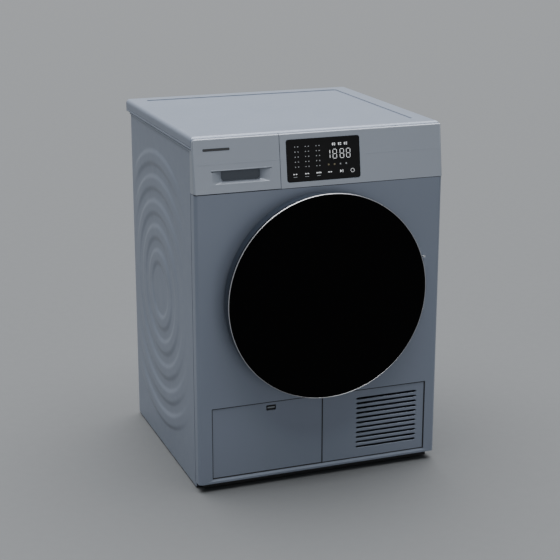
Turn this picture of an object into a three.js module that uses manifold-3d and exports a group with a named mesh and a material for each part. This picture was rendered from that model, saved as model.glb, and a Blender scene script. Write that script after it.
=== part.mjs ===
// A front-loading tumble dryer: a painted cabinet on four levelling feet, with a round glass door,
// a condensate tank drawer, a service flap, a belt-driven drum and a heat-pump unit in the base.
// Millimetres, +Z up. X runs across the front and the front faces -Y.
// The origin is on the floor, under the middle of the whole machine.
import * as THREE from "three";
import { mergeVertices } from "three/addons/utils/BufferGeometryUtils.js";
import { ConvexGeometry } from "three/addons/geometries/ConvexGeometry.js";
import Module from "manifold-3d";

// Driving dimensions
const CABINET_WIDTH = 600;
const CABINET_DEPTH = 584; // front panel's face to the top plate's rear edge
const CABINET_HEIGHT = 832;
const DOOR_PROUD = 50; // how far the door's trim ring stands in front of the front panel
const DOOR_RADIUS = 241;
const AXIS_Z = 458; // height of the drum's and the door's common axis
const FASCIA_BOTTOM = 707;
const FASCIA_TOP = 827;
const FASCIA_LEAN = 15.5; // how far back the fascia's top edge leans
const FRONT_WRAP = 30; // depth of the front panel's and the fascia's side returns
const SHELL_DEPTH = 546; // front panel's face to the rear panel's face
const SIDE_BOTTOM = 5;
const SIDE_TOP = 800;
const FRONT_BOTTOM = 21;
const DRUM_RADIUS = 276;
const DRUM_FRONT = 90; // depths behind the front panel's face
const DRUM_REAR = 502;
const MOUTH_RADIUS = 178;
const HINGE_X = 251;
const HINGE_PROUD = 13;
const SKIN = 3; // wall of the moulded and folded covers
const GAP = 0.3; // clearance between pieces that touch

// Facets on round pieces
const BIG_ROUND = 40;
const SMALL_ROUND = 14;

const HALF_WIDTH = CABINET_WIDTH / 2;
const FRONT_Y = -(CABINET_DEPTH - DOOR_PROUD) / 2;
const FLOOR = 0;

// Y of a plane that lies this far behind the front panel's face.
function at(depth) {
  return FRONT_Y + depth;
}

const wasm = await Module();
wasm.setup();

// Geometry helpers

// A closed three.js geometry as a solid, with its collapsed triangles dropped.
function solid(geometry) {
  const bare = geometry.clone();
  bare.deleteAttribute("normal");
  bare.deleteAttribute("uv");
  const merged = mergeVertices(bare, 1e-4);
  const index = merged.index.array;
  const triangles = [];
  for (let i = 0; i < index.length; i += 3) {
    const [a, b, c] = index.slice(i, i + 3);
    if (a !== b && b !== c && c !== a) triangles.push(a, b, c);
  }
  return new wasm.Manifold(
    new wasm.Mesh({
      numProp: 3,
      vertProperties: merged.attributes.position.array,
      triVerts: new Uint32Array(triangles),
    }),
  );
}

function geometryOf(shape) {
  const mesh = shape.getMesh();
  const geometry = new THREE.BufferGeometry();
  geometry.setAttribute("position", new THREE.BufferAttribute(mesh.vertProperties, 3));
  geometry.setIndex(new THREE.BufferAttribute(mesh.triVerts, 1));
  return geometry;
}

function join(...shapes) {
  return shapes.reduce((all, one) => all.add(one));
}

function cut(shape, ...cutters) {
  return cutters.reduce((rest, cutter) => rest.subtract(cutter), shape);
}

// A block between two x, two depths behind the front face and two z.
function block(x0, x1, depth0, depth1, z0, z1) {
  const geometry = new THREE.BoxGeometry(x1 - x0, depth1 - depth0, z1 - z0);
  geometry.translate((x0 + x1) / 2, at((depth0 + depth1) / 2), (z0 + z1) / 2);
  return solid(geometry);
}

function signedArea(points) {
  return points.reduce((sum, [x, y], i) => {
    const [nextX, nextY] = points[(i + 1) % points.length];
    return sum + (x * nextY - nextX * y) / 2;
  }, 0);
}

// A closed outline of [radius, height] turned about Y.
function turned(outline, segments) {
  const ordered = signedArea(outline) < 0 ? [...outline].reverse() : [...outline];
  const points = [...ordered, ordered[0]].map(([radius, y]) => new THREE.Vector2(radius, y));
  return new THREE.LatheGeometry(points, segments);
}

// A ring or disc about an axis along Y at (x, z), from an outline of [radius, depth].
function turnedAlongY(outline, x, z, segments) {
  const geometry = turned(outline.map(([radius, depth]) => [radius, at(depth)]), segments);
  geometry.translate(x, 0, z);
  return solid(geometry);
}

// A turned piece about a vertical axis at (x, y), from an outline of [radius, z].
function turnedAlongZ(outline, x, y, segments) {
  const geometry = turned(outline, segments);
  geometry.rotateX(Math.PI / 2);
  geometry.translate(x, y, 0);
  return solid(geometry);
}

function rod(radius, from, to) {
  return [[0, from], [radius, from], [radius, to], [0, to]];
}

function tube(inner, outer, from, to) {
  return [[inner, from], [outer, from], [outer, to], [inner, to]];
}

function polygon(points) {
  return new THREE.Shape(points.map(([x, y]) => new THREE.Vector2(x, y)));
}

// A rectangle whose four corner radii are given anticlockwise from the lower left.
function roundedRectangle(x0, y0, x1, y1, [r00, r10, r11, r01]) {
  const shape = new THREE.Shape();
  const quarter = Math.PI / 2;
  shape.moveTo(x0 + r00, y0);
  shape.lineTo(x1 - r10, y0);
  if (r10) shape.absarc(x1 - r10, y0 + r10, r10, -quarter, 0);
  shape.lineTo(x1, y1 - r11);
  if (r11) shape.absarc(x1 - r11, y1 - r11, r11, 0, quarter);
  shape.lineTo(x0 + r01, y1);
  if (r01) shape.absarc(x0 + r01, y1 - r01, r01, quarter, 2 * quarter);
  shape.lineTo(x0, y0 + r00);
  if (r00) shape.absarc(x0 + r00, y0 + r00, r00, 2 * quarter, 3 * quarter);
  return shape;
}

function extruded(shape, depth, curveSegments) {
  return new THREE.ExtrudeGeometry(shape, { depth, bevelEnabled: false, curveSegments });
}

// An outline in X and depth, standing from z0 to z1.
function prismUp(shape, z0, z1, curveSegments = 5) {
  const geometry = extruded(shape, z1 - z0, curveSegments);
  geometry.translate(0, FRONT_Y, z0);
  return solid(geometry);
}

// An outline in X and Z, running back from one depth to another.
function prismBack(shape, depth0, depth1, curveSegments = 5) {
  const geometry = extruded(shape, depth1 - depth0, curveSegments);
  geometry.rotateX(Math.PI / 2);
  geometry.translate(0, at(depth1), 0);
  return solid(geometry);
}

// An outline in depth and Z, running across from x0 to x1.
function prismAcross(shape, x0, x1, curveSegments = 5) {
  const geometry = extruded(shape, x1 - x0, curveSegments);
  const axes = new THREE.Matrix4().makeBasis(
    new THREE.Vector3(0, 1, 0),
    new THREE.Vector3(0, 0, 1),
    new THREE.Vector3(1, 0, 0),
  );
  geometry.applyMatrix4(axes);
  geometry.translate(x0, FRONT_Y, 0);
  return solid(geometry);
}

// Materials

function finish(color, roughness, metalness) {
  return { color, roughness, metalness };
}

const FINISHES = {
  paint: finish(0x747c88, 0.42, 0.35),
  fascia: finish(0x868d97, 0.4, 0.35),
  darkPaint: finish(0x2b3440, 0.35, 0.4),
  blackGlass: finish(0x050506, 0.05, 0),
  smokedGlass: finish(0x2c3033, 0.08, 0),
  chrome: finish(0xd6d8dc, 0.12, 1),
  steel: finish(0xb6babd, 0.3, 0.9),
  zinc: finish(0x9fa4a8, 0.45, 0.8),
  blackPlastic: finish(0x15161a, 0.5, 0),
  greyPlastic: finish(0x6a6e73, 0.55, 0),
  whitePlastic: finish(0xd8dadc, 0.5, 0),
  aluminium: finish(0xc4c8cb, 0.4, 0.9),
  rubber: finish(0x1c1c1e, 0.85, 0),
  circuit: finish(0x1f5a38, 0.6, 0),
};

const dryer = new THREE.Group();

function addPiece(name, shape, finishName) {
  const piece = new THREE.Mesh(geometryOf(shape), new THREE.MeshStandardMaterial(FINISHES[finishName]));
  piece.name = name;
  dryer.add(piece);
}

// Cabinet base and feet

const BASE_BOTTOM = 8;
const BASE_TOP = 28;
const FOOT_X = 250;
const FOOT_DEPTHS = { front: 70, rear: 500 };
const FOOT_PAD_RADIUS = 20;
const FOOT_STUD_RADIUS = 6;

function addFeet() {
  const outline = [
    [0, FLOOR],
    [FOOT_PAD_RADIUS, FLOOR],
    [FOOT_PAD_RADIUS, 3],
    [FOOT_PAD_RADIUS - 6, 6.5],
    [FOOT_STUD_RADIUS, 6.5],
    [FOOT_STUD_RADIUS, BASE_TOP - 4],
    [0, BASE_TOP - 4],
  ];
  for (const [row, depth] of Object.entries(FOOT_DEPTHS)) {
    const left = turnedAlongZ(outline, -FOOT_X, at(depth), SMALL_ROUND);
    const right = turnedAlongZ(outline, FOOT_X, at(depth), SMALL_ROUND);
    addPiece(`foot_${row}_left`, left, "blackPlastic");
    addPiece(`foot_${row}_right`, right, "blackPlastic");
  }
}

function addBase() {
  const slab = block(-286, 286, FRONT_WRAP + 2, SHELL_DEPTH - 4, BASE_BOTTOM, BASE_TOP);
  const hole = rod(FOOT_STUD_RADIUS + 0.6, BASE_BOTTOM - 1, BASE_TOP - 3);
  const holes = Object.values(FOOT_DEPTHS).flatMap((depth) =>
    [-FOOT_X, FOOT_X].map((x) => turnedAlongZ(hole, x, at(depth), SMALL_ROUND)),
  );
  addPiece("base_tray", cut(slab, ...holes), "blackPlastic");
  addPiece("plinth", block(-284, 284, 14, FRONT_WRAP, 7, FRONT_BOTTOM - GAP), "blackPlastic");
}

// Side panels, each pressed with five shallow rings about one centre

const SIDE_FACE = HALF_WIDTH - 3; // the panel's flat face
const SIDE_SHEET = 3.5;
const RIPPLE_DEPTH = 305;
const RIPPLE_Z = 408;
const RIPPLE_FIRST = 82;
const RIPPLE_PITCH = 60;
const RIPPLE_COUNT = 5;
const RIPPLE_HALF_WIDTH = 16;
const RIPPLE_PROUD = 2.6;
const RIPPLE_FACETS = 28;

function sidePanel(side) {
  const beyond = 520; // past the panel's furthest corner
  const face = [];
  for (let ring = 0; ring < RIPPLE_COUNT; ring++) {
    const crest = RIPPLE_FIRST + ring * RIPPLE_PITCH;
    face.push([crest - RIPPLE_HALF_WIDTH, SIDE_FACE]);
    face.push([crest, SIDE_FACE + RIPPLE_PROUD]);
    face.push([crest + RIPPLE_HALF_WIDTH, SIDE_FACE]);
  }
  const back = SIDE_FACE - SIDE_SHEET;
  const outline = [[0, back], [0, SIDE_FACE], ...face, [beyond, SIDE_FACE], [beyond, back]];
  const geometry = turned(outline, RIPPLE_FACETS);
  geometry.rotateZ(-Math.PI / 2);
  if (side < 0) geometry.rotateY(Math.PI);
  geometry.translate(0, at(RIPPLE_DEPTH), RIPPLE_Z);
  const rippled = solid(geometry);
  const inner = side * (back - 1);
  const outer = side * (HALF_WIDTH + 1);
  const sheetLow = Math.min(inner, outer);
  const sheetHigh = Math.max(inner, outer);
  const bounds = block(sheetLow, sheetHigh, FRONT_WRAP + 1, SHELL_DEPTH, SIDE_BOTTOM, SIDE_TOP);
  return rippled.intersect(bounds);
}

function addSidePanels() {
  addPiece("side_panel_left", sidePanel(-1), "paint");
  addPiece("side_panel_right", sidePanel(1), "paint");
}

// Rear panel, its round duct cover, the cable gland and the drain spigot

const REAR_SHEET = 1.5;
const REAR_SLOT_PITCH = 14;
const REAR_SLOT_COUNT = 6;

function addRear() {
  const inside = SIDE_FACE - SIDE_SHEET - GAP;
  const panel = block(-inside, inside, SHELL_DEPTH - REAR_SHEET, SHELL_DEPTH, BASE_BOTTOM, SIDE_TOP);
  const slots = Array.from({ length: REAR_SLOT_COUNT }, (_, i) => {
    const z = 90 + i * REAR_SLOT_PITCH;
    return block(-80, 40, SHELL_DEPTH - 10, SHELL_DEPTH + 1, z, z + 5);
  });
  addPiece("rear_panel", cut(panel, ...slots), "zinc");
  const cover = [
    [205, SHELL_DEPTH + GAP],
    [205, SHELL_DEPTH + 1.8],
    [196, SHELL_DEPTH + 1.8],
    [170, SHELL_DEPTH + 22],
    [0, SHELL_DEPTH + 25],
    [0, SHELL_DEPTH + 23.2],
    [169, SHELL_DEPTH + 20.2],
    [194, SHELL_DEPTH + GAP],
  ];
  addPiece("rear_duct_cover", turnedAlongY(cover, 0, AXIS_Z, BIG_ROUND), "zinc");
  const gland = [[0, 0.3], [14, 0.3], [14, 3], [9, 5], [7, 14], [0, 14]];
  const outward = (outline) => outline.map(([radius, proud]) => [radius, SHELL_DEPTH + proud]);
  addPiece("cord_gland", turnedAlongY(outward(gland), -230, 70, SMALL_ROUND), "blackPlastic");
  const spigot = [[5, 0.3], [15, 0.3], [15, 3], [8, 3], [8, 20], [9.5, 22], [8, 26], [5, 26]];
  addPiece("drain_spigot", turnedAlongY(outward(spigot), 235, 120, SMALL_ROUND), "greyPlastic");
}

// Front panel, service flap and vent grille

const CORNER_RADIUS = 9;
const DOOR_HOLE_RADIUS = 205;
const SERVICE = { left: -267, right: 271.5, bottom: 31.6, top: 205.4 };
const SERVICE_RECESS = 2.5;
const SERVICE_PLATE = 3.5;
const FLAP = { left: -265.4, right: 5.2, bottom: 34, top: 203.6 };
const GRILLE = { left: 6.8, right: 269.8, bottom: 33.2, top: 203.6 };
const FLAP_AXIS = { depth: 7.4, z: 39.5 };
const FLAP_ROD_RADIUS = 1.6;
const LATCH_X = -122;
const LATCH_Z = 190;

function planOutline(inset, back) {
  const half = HALF_WIDTH - inset;
  const corner = CORNER_RADIUS - inset;
  return roundedRectangle(-half, inset, half, back, [corner, corner, 0, 0]);
}

function addFrontPanel() {
  const top = FASCIA_BOTTOM - 0.8;
  const outside = prismUp(planOutline(0, FRONT_WRAP), FRONT_BOTTOM, top);
  const inside = prismUp(planOutline(SKIN, FRONT_WRAP + 1), FRONT_BOTTOM + SKIN, top - SKIN);
  const doorHole = turnedAlongY(rod(DOOR_HOLE_RADIUS, -5, 40), 0, AXIS_Z, BIG_ROUND);
  const service = block(SERVICE.left, SERVICE.right, -5, 12, SERVICE.bottom, SERVICE.top);
  addPiece("front_panel", cut(outside, inside, doorHole, service), "paint");
}

function addServiceFlap() {
  const back = SERVICE_RECESS + SERVICE_PLATE;
  const plate = block(FLAP.left, FLAP.right, SERVICE_RECESS, back, FLAP.bottom, FLAP.top);
  const lugs = [-230, -130, -30].map((x) => block(x - 12, x + 12, back - 1, 10.4, 35.5, 43.5));
  const rodAlongX = rodAcross(FLAP_ROD_RADIUS + 0.4, FLAP.left - 5, FLAP.right + 5);
  const slot = block(LATCH_X - 12, LATCH_X + 12, -5, 12, LATCH_Z - 6.5, LATCH_Z + 6.5);
  addPiece("service_flap", cut(join(plate, ...lugs), rodAlongX, slot), "paint");
  addPiece("flap_hinge_rod", rodAcross(FLAP_ROD_RADIUS, FLAP.left + 1, FLAP.right - 1), "steel");
  const bar = block(LATCH_X - 9.5, LATCH_X + 9.5, 3.4, 6.8, LATCH_Z - 1.5, LATCH_Z + 3.5);
  const slide = block(LATCH_X - 14, LATCH_X + 14, back + 0.6, back + 3.2, LATCH_Z - 14, FLAP.top + 1);
  addPiece("flap_latch", join(bar, slide), "greyPlastic");
}

// A rod along X on the flap's hinge line.
function rodAcross(radius, x0, x1) {
  const geometry = turned(rod(radius, x0, x1), SMALL_ROUND);
  geometry.rotateZ(-Math.PI / 2);
  geometry.translate(0, at(FLAP_AXIS.depth), FLAP_AXIS.z);
  return solid(geometry);
}

const LOUVRE_COUNT = 11;
const LOUVRE_PITCH = 12.32;
const LOUVRE_LOWEST = 58.6;
const LOUVRE_HEIGHT = 4.8;
const LOUVRE_LEFT = 92;
const LOUVRE_RIGHT = 248;

function addVentGrille() {
  const back = SERVICE_RECESS + SERVICE_PLATE;
  const plate = block(GRILLE.left, GRILLE.right, SERVICE_RECESS, back, GRILLE.bottom, GRILLE.top);
  const half = LOUVRE_HEIGHT / 2;
  const slots = Array.from({ length: LOUVRE_COUNT }, (_, i) => {
    const z = LOUVRE_LOWEST + i * LOUVRE_PITCH;
    const outline = polygon([
      [LOUVRE_LEFT, z],
      [LOUVRE_LEFT + 4, z - half],
      [LOUVRE_RIGHT - 4, z - half],
      [LOUVRE_RIGHT, z],
      [LOUVRE_RIGHT - 4, z + half],
      [LOUVRE_LEFT + 4, z + half],
    ]);
    return prismBack(outline, 0, back + 2);
  });
  addPiece("vent_grille", cut(plate, ...slots), "paint");
}

// Top plate

const PLATE_FRONT = 20.6; // depth at which the plate starts, behind the fascia's top edge
const PLATE_BOTTOM = 803;
const PLATE_EDGE = 9;
const PLATE_INSET = { side: 44, front: 74, rear: 40, down: 2.5 };

function addTopPlate() {
  const rounding = 3;
  const straight = CABINET_HEIGHT - PLATE_EDGE - PLATE_BOTTOM;
  const outline = roundedRectangle(
    -HALF_WIDTH + PLATE_EDGE,
    PLATE_FRONT + rounding,
    HALF_WIDTH - PLATE_EDGE,
    CABINET_DEPTH - PLATE_EDGE,
    [7, 7, 20, 20],
  );
  const crown = new THREE.ExtrudeGeometry(outline, {
    depth: straight,
    bevelThickness: PLATE_EDGE,
    bevelSize: PLATE_EDGE,
    bevelSegments: 3,
    curveSegments: 4,
  });
  crown.translate(0, FRONT_Y, PLATE_BOTTOM);
  const keep = block(-HALF_WIDTH, HALF_WIDTH, PLATE_FRONT, CABINET_DEPTH, PLATE_BOTTOM, CABINET_HEIGHT);
  const inset = block(
    -HALF_WIDTH + PLATE_INSET.side,
    HALF_WIDTH - PLATE_INSET.side,
    PLATE_INSET.front,
    CABINET_DEPTH - PLATE_INSET.rear,
    CABINET_HEIGHT - PLATE_INSET.down,
    CABINET_HEIGHT + 5,
  );
  addPiece("top_plate", cut(solid(crown).intersect(keep), inset), "paint");
}

// Control fascia, display and condensate tank drawer

const DRAWER_RIGHT = -98.4;
const DRAWER_SEAM = 9; // depth of the seam on the drawer's left cheek
const DRAWER_BLOCK = 21.6; // depth of the drawer front's moulding
const LEAN_ANGLE = Math.atan2(FASCIA_LEAN, FASCIA_TOP - 5 - FASCIA_BOTTOM);
const DISPLAY = { left: -82.4, right: 94, low: 12.4, high: 107.2, corner: 6, thick: 3 };
const FASCIA_TOP_CORNER = 9;

function fasciaVolume() {
  const side = polygon([
    [0, FASCIA_BOTTOM],
    [FRONT_WRAP, FASCIA_BOTTOM],
    [FRONT_WRAP, PLATE_BOTTOM - 0.8],
    [PLATE_FRONT - 0.6, PLATE_BOTTOM - 0.8],
    [PLATE_FRONT - 0.6, FASCIA_TOP],
    [FASCIA_LEAN + 1.8, FASCIA_TOP - 1.2],
    [FASCIA_LEAN, FASCIA_TOP - 5],
  ]);
  const corner = FASCIA_TOP_CORNER;
  const face = roundedRectangle(
    -HALF_WIDTH, FASCIA_BOTTOM, HALF_WIDTH, FASCIA_TOP, [0, 0, corner, corner],
  );
  const plan = prismUp(planOutline(0, FRONT_WRAP), FASCIA_BOTTOM, FASCIA_TOP);
  return prismAcross(side, -HALF_WIDTH, HALF_WIDTH)
    .intersect(plan)
    .intersect(prismBack(face, 0, FRONT_WRAP));
}

// A rounded plate in the fascia's leaning plane, from one distance behind its face to another.
function leaningPlate(x0, x1, low, high, corner, from, to) {
  const shape = roundedRectangle(x0, low, x1, high, [corner, corner, corner, corner]);
  const geometry = extruded(shape, to - from, 3);
  geometry.rotateX(Math.PI / 2);
  geometry.translate(0, to, 0);
  geometry.rotateX(-LEAN_ANGLE);
  geometry.translate(0, FRONT_Y, FASCIA_BOTTOM);
  return solid(geometry);
}

function addFascia() {
  const hollowSide = polygon([
    [SKIN, FASCIA_BOTTOM + SKIN],
    [FRONT_WRAP + 1, FASCIA_BOTTOM + SKIN],
    [FRONT_WRAP + 1, PLATE_BOTTOM - 0.8 - SKIN],
    [SKIN + FASCIA_LEAN * 0.8, PLATE_BOTTOM - 0.8 - SKIN],
  ]);
  const hollow = prismAcross(hollowSide, -HALF_WIDTH + SKIN, HALF_WIDTH - SKIN).intersect(
    prismUp(planOutline(SKIN, FRONT_WRAP + 2), FASCIA_BOTTOM, FASCIA_TOP),
  );
  const right = DRAWER_RIGHT + 0.8;
  const left = -HALF_WIDTH;
  const drawerFront = block(left - 1, right, -1, DRAWER_SEAM, FASCIA_BOTTOM - 1, FASCIA_TOP + 1);
  const drawerBlock = block(
    left + SKIN, right, 0, DRAWER_BLOCK + 0.6, FASCIA_BOTTOM - 1, FASCIA_TOP + 1,
  );
  const tankWay = block(left + SKIN, right, 0, FRONT_WRAP + 1, FASCIA_BOTTOM + 4, PLATE_BOTTOM - 5);
  const window = leaningPlate(
    DISPLAY.left - 0.5, DISPLAY.right + 0.5, DISPLAY.low - 0.5, DISPLAY.high + 0.5,
    DISPLAY.corner, -3, 14,
  );
  const fascia = cut(fasciaVolume(), hollow, drawerFront, drawerBlock, tankWay, window);
  addPiece("control_fascia", fascia, "fascia");
  const glass = leaningPlate(
    DISPLAY.left, DISPLAY.right, DISPLAY.low, DISPLAY.high, DISPLAY.corner, 0, DISPLAY.thick,
  );
  addPiece("display_glass", glass, "blackGlass");
  const board = leaningPlate(
    DISPLAY.left + 4, DISPLAY.right - 4, DISPLAY.low + 6, DISPLAY.high - 17, 2, 6, 8,
  );
  addPiece("control_board", board, "circuit");
}

const GRIP = { left: -234, right: -139, low: 728, high: 756, depth: 16, flare: 18 };

// The finger grip: a scoop that widens towards the face and runs up behind the drawer's lip.
function gripHollow() {
  const corners = [
    [GRIP.left - GRIP.flare, -1, GRIP.low],
    [GRIP.right + GRIP.flare, -1, GRIP.low],
    [GRIP.left - GRIP.flare, -1, GRIP.high],
    [GRIP.right + GRIP.flare, -1, GRIP.high],
    [GRIP.left, GRIP.depth, GRIP.low + 4],
    [GRIP.right, GRIP.depth, GRIP.low + 4],
    [GRIP.left, GRIP.depth, GRIP.high],
    [GRIP.right, GRIP.depth, GRIP.high],
  ];
  const scoop = new ConvexGeometry(corners.map(([x, depth, z]) => new THREE.Vector3(x, at(depth), z)));
  const behindLip = block(GRIP.left, GRIP.right, 11, GRIP.depth + 2, GRIP.high - 6, GRIP.high + 10);
  return join(solid(scoop), behindLip);
}

const TANK = { left: -291, right: -104, front: 24, rear: 470, bottom: 723, top: 795, wall: 2.5 };

function addTankDrawer() {
  const left = -HALF_WIDTH;
  const low = FASCIA_BOTTOM + 0.8;
  const cheek = block(left, DRAWER_RIGHT, -1, DRAWER_SEAM - 0.8, low, FASCIA_TOP);
  const behind = block(left + SKIN + 0.8, DRAWER_RIGHT, -1, DRAWER_BLOCK, low, FASCIA_TOP);
  const front = fasciaVolume().intersect(join(cheek, behind));
  addPiece("tank_drawer_front", cut(front, gripHollow()), "fascia");
  const { wall } = TANK;
  const outside = block(TANK.left, TANK.right, TANK.front, TANK.rear, TANK.bottom, TANK.top);
  const inside = block(
    TANK.left + wall, TANK.right - wall, TANK.front + wall, TANK.rear - wall,
    TANK.bottom + wall, TANK.top - wall,
  );
  const fillHole = block(-230, -170, 380, 440, TANK.top - 10, TANK.top + 1);
  const spout = block(-285, -255, 40, 70, TANK.top - 10, TANK.top + 1);
  addPiece("water_tank", cut(outside, inside, fillHole, spout), "whitePlastic");
  const rail = block(TANK.left - 1, TANK.right + 1, 34, 500, TANK.bottom - 4, TANK.bottom - 0.6);
  const stop = block(TANK.left - 1, TANK.right + 1, TANK.rear + 4, TANK.rear + 8, TANK.bottom - 4, 770);
  addPiece("tank_guide", join(rail, stop), "greyPlastic");
}

// Door: black outer glass in a trim ring, painted rim, moulded inner frame and smoked bowl

function addDoor() {
  const ring = (outline) => turnedAlongY(outline, 0, AXIS_Z, BIG_ROUND);
  const rim = DOOR_RADIUS;
  addPiece("door_glass", ring(rod(rim - 4.9, -DOOR_PROUD + 5.5, -DOOR_PROUD + 0.7)), "blackGlass");
  const trim = [
    [rim - 7, -38.3],
    [rim - 1, -38.3],
    [rim, -41.5],
    [rim, -DOOR_PROUD + 2],
    [rim - 1.4, -DOOR_PROUD],
    [rim - 4.5, -DOOR_PROUD],
    [rim - 4.5, -DOOR_PROUD + 5.8],
    [rim - 7, -DOOR_PROUD + 5.8],
  ];
  addPiece("door_ring", ring(trim), "chrome");
  const paintedRim = [[rim - 7, -10], [rim - 3, -10], [rim - 1.2, -38], [rim - 7, -38]];
  addPiece("door_rim", ring(paintedRim), "darkPaint");
  const frame = [
    [160, -2],
    [rim - 4, -2],
    [rim - 4, -9.7],
    [rim - 7.3, -9.7],
    [rim - 7.3, -DOOR_PROUD + 6.1],
    [160, -DOOR_PROUD + 6.1],
  ];
  const leafPocket = block(198, 250, -7.6, 0, AXIS_Z - 23, AXIS_Z + 23);
  addPiece("door_inner_frame", cut(ring(frame), leafPocket), "blackPlastic");
  const bowl = [
    [177, -1.7],
    [177, 1.2],
    [154, 1.2],
    [132, 40],
    [0, 46],
    [0, 42],
    [129, 36.5],
    [150, -1.7],
  ];
  addPiece("door_bowl", ring(bowl), "smokedGlass");
  addPiece("door_seal", ring(tube(179, 186, -1.7, 11.6)), "rubber");
  const hookPlate = block(-212, -190, -1.7, -0.4, AXIS_Z - 14, AXIS_Z + 14);
  const shank = block(-203, -197, -1.2, 32, AXIS_Z - 8, AXIS_Z + 8);
  const nose = block(-203, -190, 24, 32, AXIS_Z - 8, AXIS_Z + 8);
  addPiece("door_hook", join(hookPlate, shank, nose), "zinc");
}

const KNUCKLE_RADIUS = 6;
const KNUCKLE_SPLIT = 25;
const KNUCKLE_END = 62;
const PIN_RADIUS = 3;

function addDoorHinge() {
  const y = at(-HINGE_PROUD);
  const upright = (radius, z0, z1) =>
    turnedAlongZ(rod(radius, AXIS_Z + z0, AXIS_Z + z1), HINGE_X, y, SMALL_ROUND);
  const bore = upright(PIN_RADIUS + GAP, -KNUCKLE_END - 5, KNUCKLE_END + 5);
  const plate = block(243, 262, -2.3, -0.3, AXIS_Z - 66, AXIS_Z + 66);
  const fixed = [-1, 1].flatMap((side) => {
    const z0 = Math.min(side * (KNUCKLE_SPLIT + 1), side * KNUCKLE_END);
    const z1 = Math.max(side * (KNUCKLE_SPLIT + 1), side * KNUCKLE_END);
    const web = block(248, 257, -HINGE_PROUD, -1.3, AXIS_Z + z0, AXIS_Z + z1);
    return [upright(KNUCKLE_RADIUS, z0, z1), web];
  });
  addPiece("hinge_bracket", cut(join(plate, ...fixed), bore), "zinc");
  const leaf = block(200, HINGE_X, -7, -3, AXIS_Z - 22, AXIS_Z + 22);
  const web = block(246, HINGE_X, -HINGE_PROUD, -3, AXIS_Z - 22, AXIS_Z + 22);
  const knuckle = upright(KNUCKLE_RADIUS, -KNUCKLE_SPLIT, KNUCKLE_SPLIT);
  addPiece("door_hinge_leaf", cut(join(leaf, web, knuckle), bore), "zinc");
  const head = upright(4.5, KNUCKLE_END + 1, KNUCKLE_END + 4);
  addPiece("hinge_pin", join(upright(PIN_RADIUS, -KNUCKLE_END - 3, KNUCKLE_END + 2), head), "steel");
}

// Front bulkhead with the load mouth, the door lock and switch, the lamp and the lint filter

const BULKHEAD_FRONT = 12;
const BULKHEAD_REAR = 76;
const FILTER = { half: 97, front: 52, rear: 67, bottom: 118, gap: 1.2 };
const SWITCH_Z = AXIS_Z + 62;
const SWITCH_X = -190;

function filterOutline(grow) {
  const half = FILTER.half + grow;
  const radius = MOUTH_RADIUS + 0.6 - grow;
  const reach = Math.asin(half / radius);
  const shape = new THREE.Shape();
  shape.moveTo(-half, FILTER.bottom - grow);
  shape.lineTo(half, FILTER.bottom - grow);
  shape.absarc(0, AXIS_Z, radius, -Math.PI / 2 + reach, -Math.PI / 2 - reach, true);
  return shape;
}

function addBulkhead() {
  const outline = [
    [MOUTH_RADIUS, BULKHEAD_FRONT],
    [236, BULKHEAD_FRONT],
    [236, BULKHEAD_FRONT + 4],
    [MOUTH_RADIUS + 5, BULKHEAD_FRONT + 4],
    [MOUTH_RADIUS + 5, BULKHEAD_REAR - 4],
    [266, BULKHEAD_REAR - 4],
    [266, BULKHEAD_REAR],
    [MOUTH_RADIUS, BULKHEAD_REAR],
  ];
  const { half, front, rear, bottom, gap } = FILTER;
  const filterWay = block(-half - gap, half + gap, front - gap, rear + gap, bottom, AXIS_Z - 100);
  const hookWay = block(-211, -186, 5, 20, AXIS_Z - 12, AXIS_Z + 12);
  const plungerWay = turnedAlongY(rod(4.6, 5, 20), SWITCH_X, SWITCH_Z, SMALL_ROUND);
  const ring = turnedAlongY(outline, 0, AXIS_Z, BIG_ROUND);
  addPiece("front_bulkhead", cut(ring, filterWay, hookWay, plungerWay), "greyPlastic");
  const lockBody = block(-218, -184.5, 16.4, 48, AXIS_Z - 20, AXIS_Z + 20);
  const lockPocket = block(-209, -187.5, 10, 40, AXIS_Z - 11, AXIS_Z + 11);
  addPiece("door_lock", cut(lockBody, lockPocket), "whitePlastic");
  const plunger = [[0, -1.6], [2.5, -1.6], [4, 0], [4, 24], [0, 24]];
  const button = turnedAlongY(plunger, SWITCH_X, SWITCH_Z, SMALL_ROUND);
  addPiece("door_switch_plunger", button, "whitePlastic");
  addPiece("drum_lamp", block(-14, 14, 40, 58, AXIS_Z + 168, AXIS_Z + 176), "whitePlastic");
}

function addLintFilter() {
  const { half, front, rear, bottom, gap } = FILTER;
  const wall = 3;
  const top = AXIS_Z - MOUTH_RADIUS - 8;
  const outside = block(
    -half - gap - wall, half + gap + wall, front - gap - wall + 0.5, rear + gap + wall - 1.5,
    bottom - gap - wall, top,
  );
  const inside = block(-half - gap, half + gap, front - gap, rear + gap - 0.4, bottom - gap, top + 1);
  const drop = 40;
  const airWay = block(-60, 60, 0, 100, bottom + 20, top - drop);
  addPiece("filter_duct", cut(outside, inside, airWay), "greyPlastic");
  const panel = prismBack(filterOutline(0), front, rear - 1.2, 10);
  const mesh = block(-half + 10, half - 10, front + 5, rear - 5, bottom + 12, bottom + 100);
  const lipFoot = AXIS_Z - MOUTH_RADIUS - 6;
  const lip = block(-30, 30, front + 2, rear - 3.2, lipFoot, lipFoot + 15);
  const frontWay = block(-half + 10, half - 10, front - 5, front + 6, bottom + 12, bottom + 100);
  const rearWay = block(-half + 10, half - 10, rear - 6.2, rear + 5, bottom + 12, bottom + 100);
  const frame = cut(join(panel, lip), frontWay, rearWay);
  addPiece("lint_filter", join(frame, mesh.intersect(panel)), "whitePlastic");
}

// Drum with three lifters, its shaft and the rear bearing

const LIFTER_COUNT = 3;
const LIFTER_BASE = 271;
const LIFTER_HEIGHT = 46;

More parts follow.
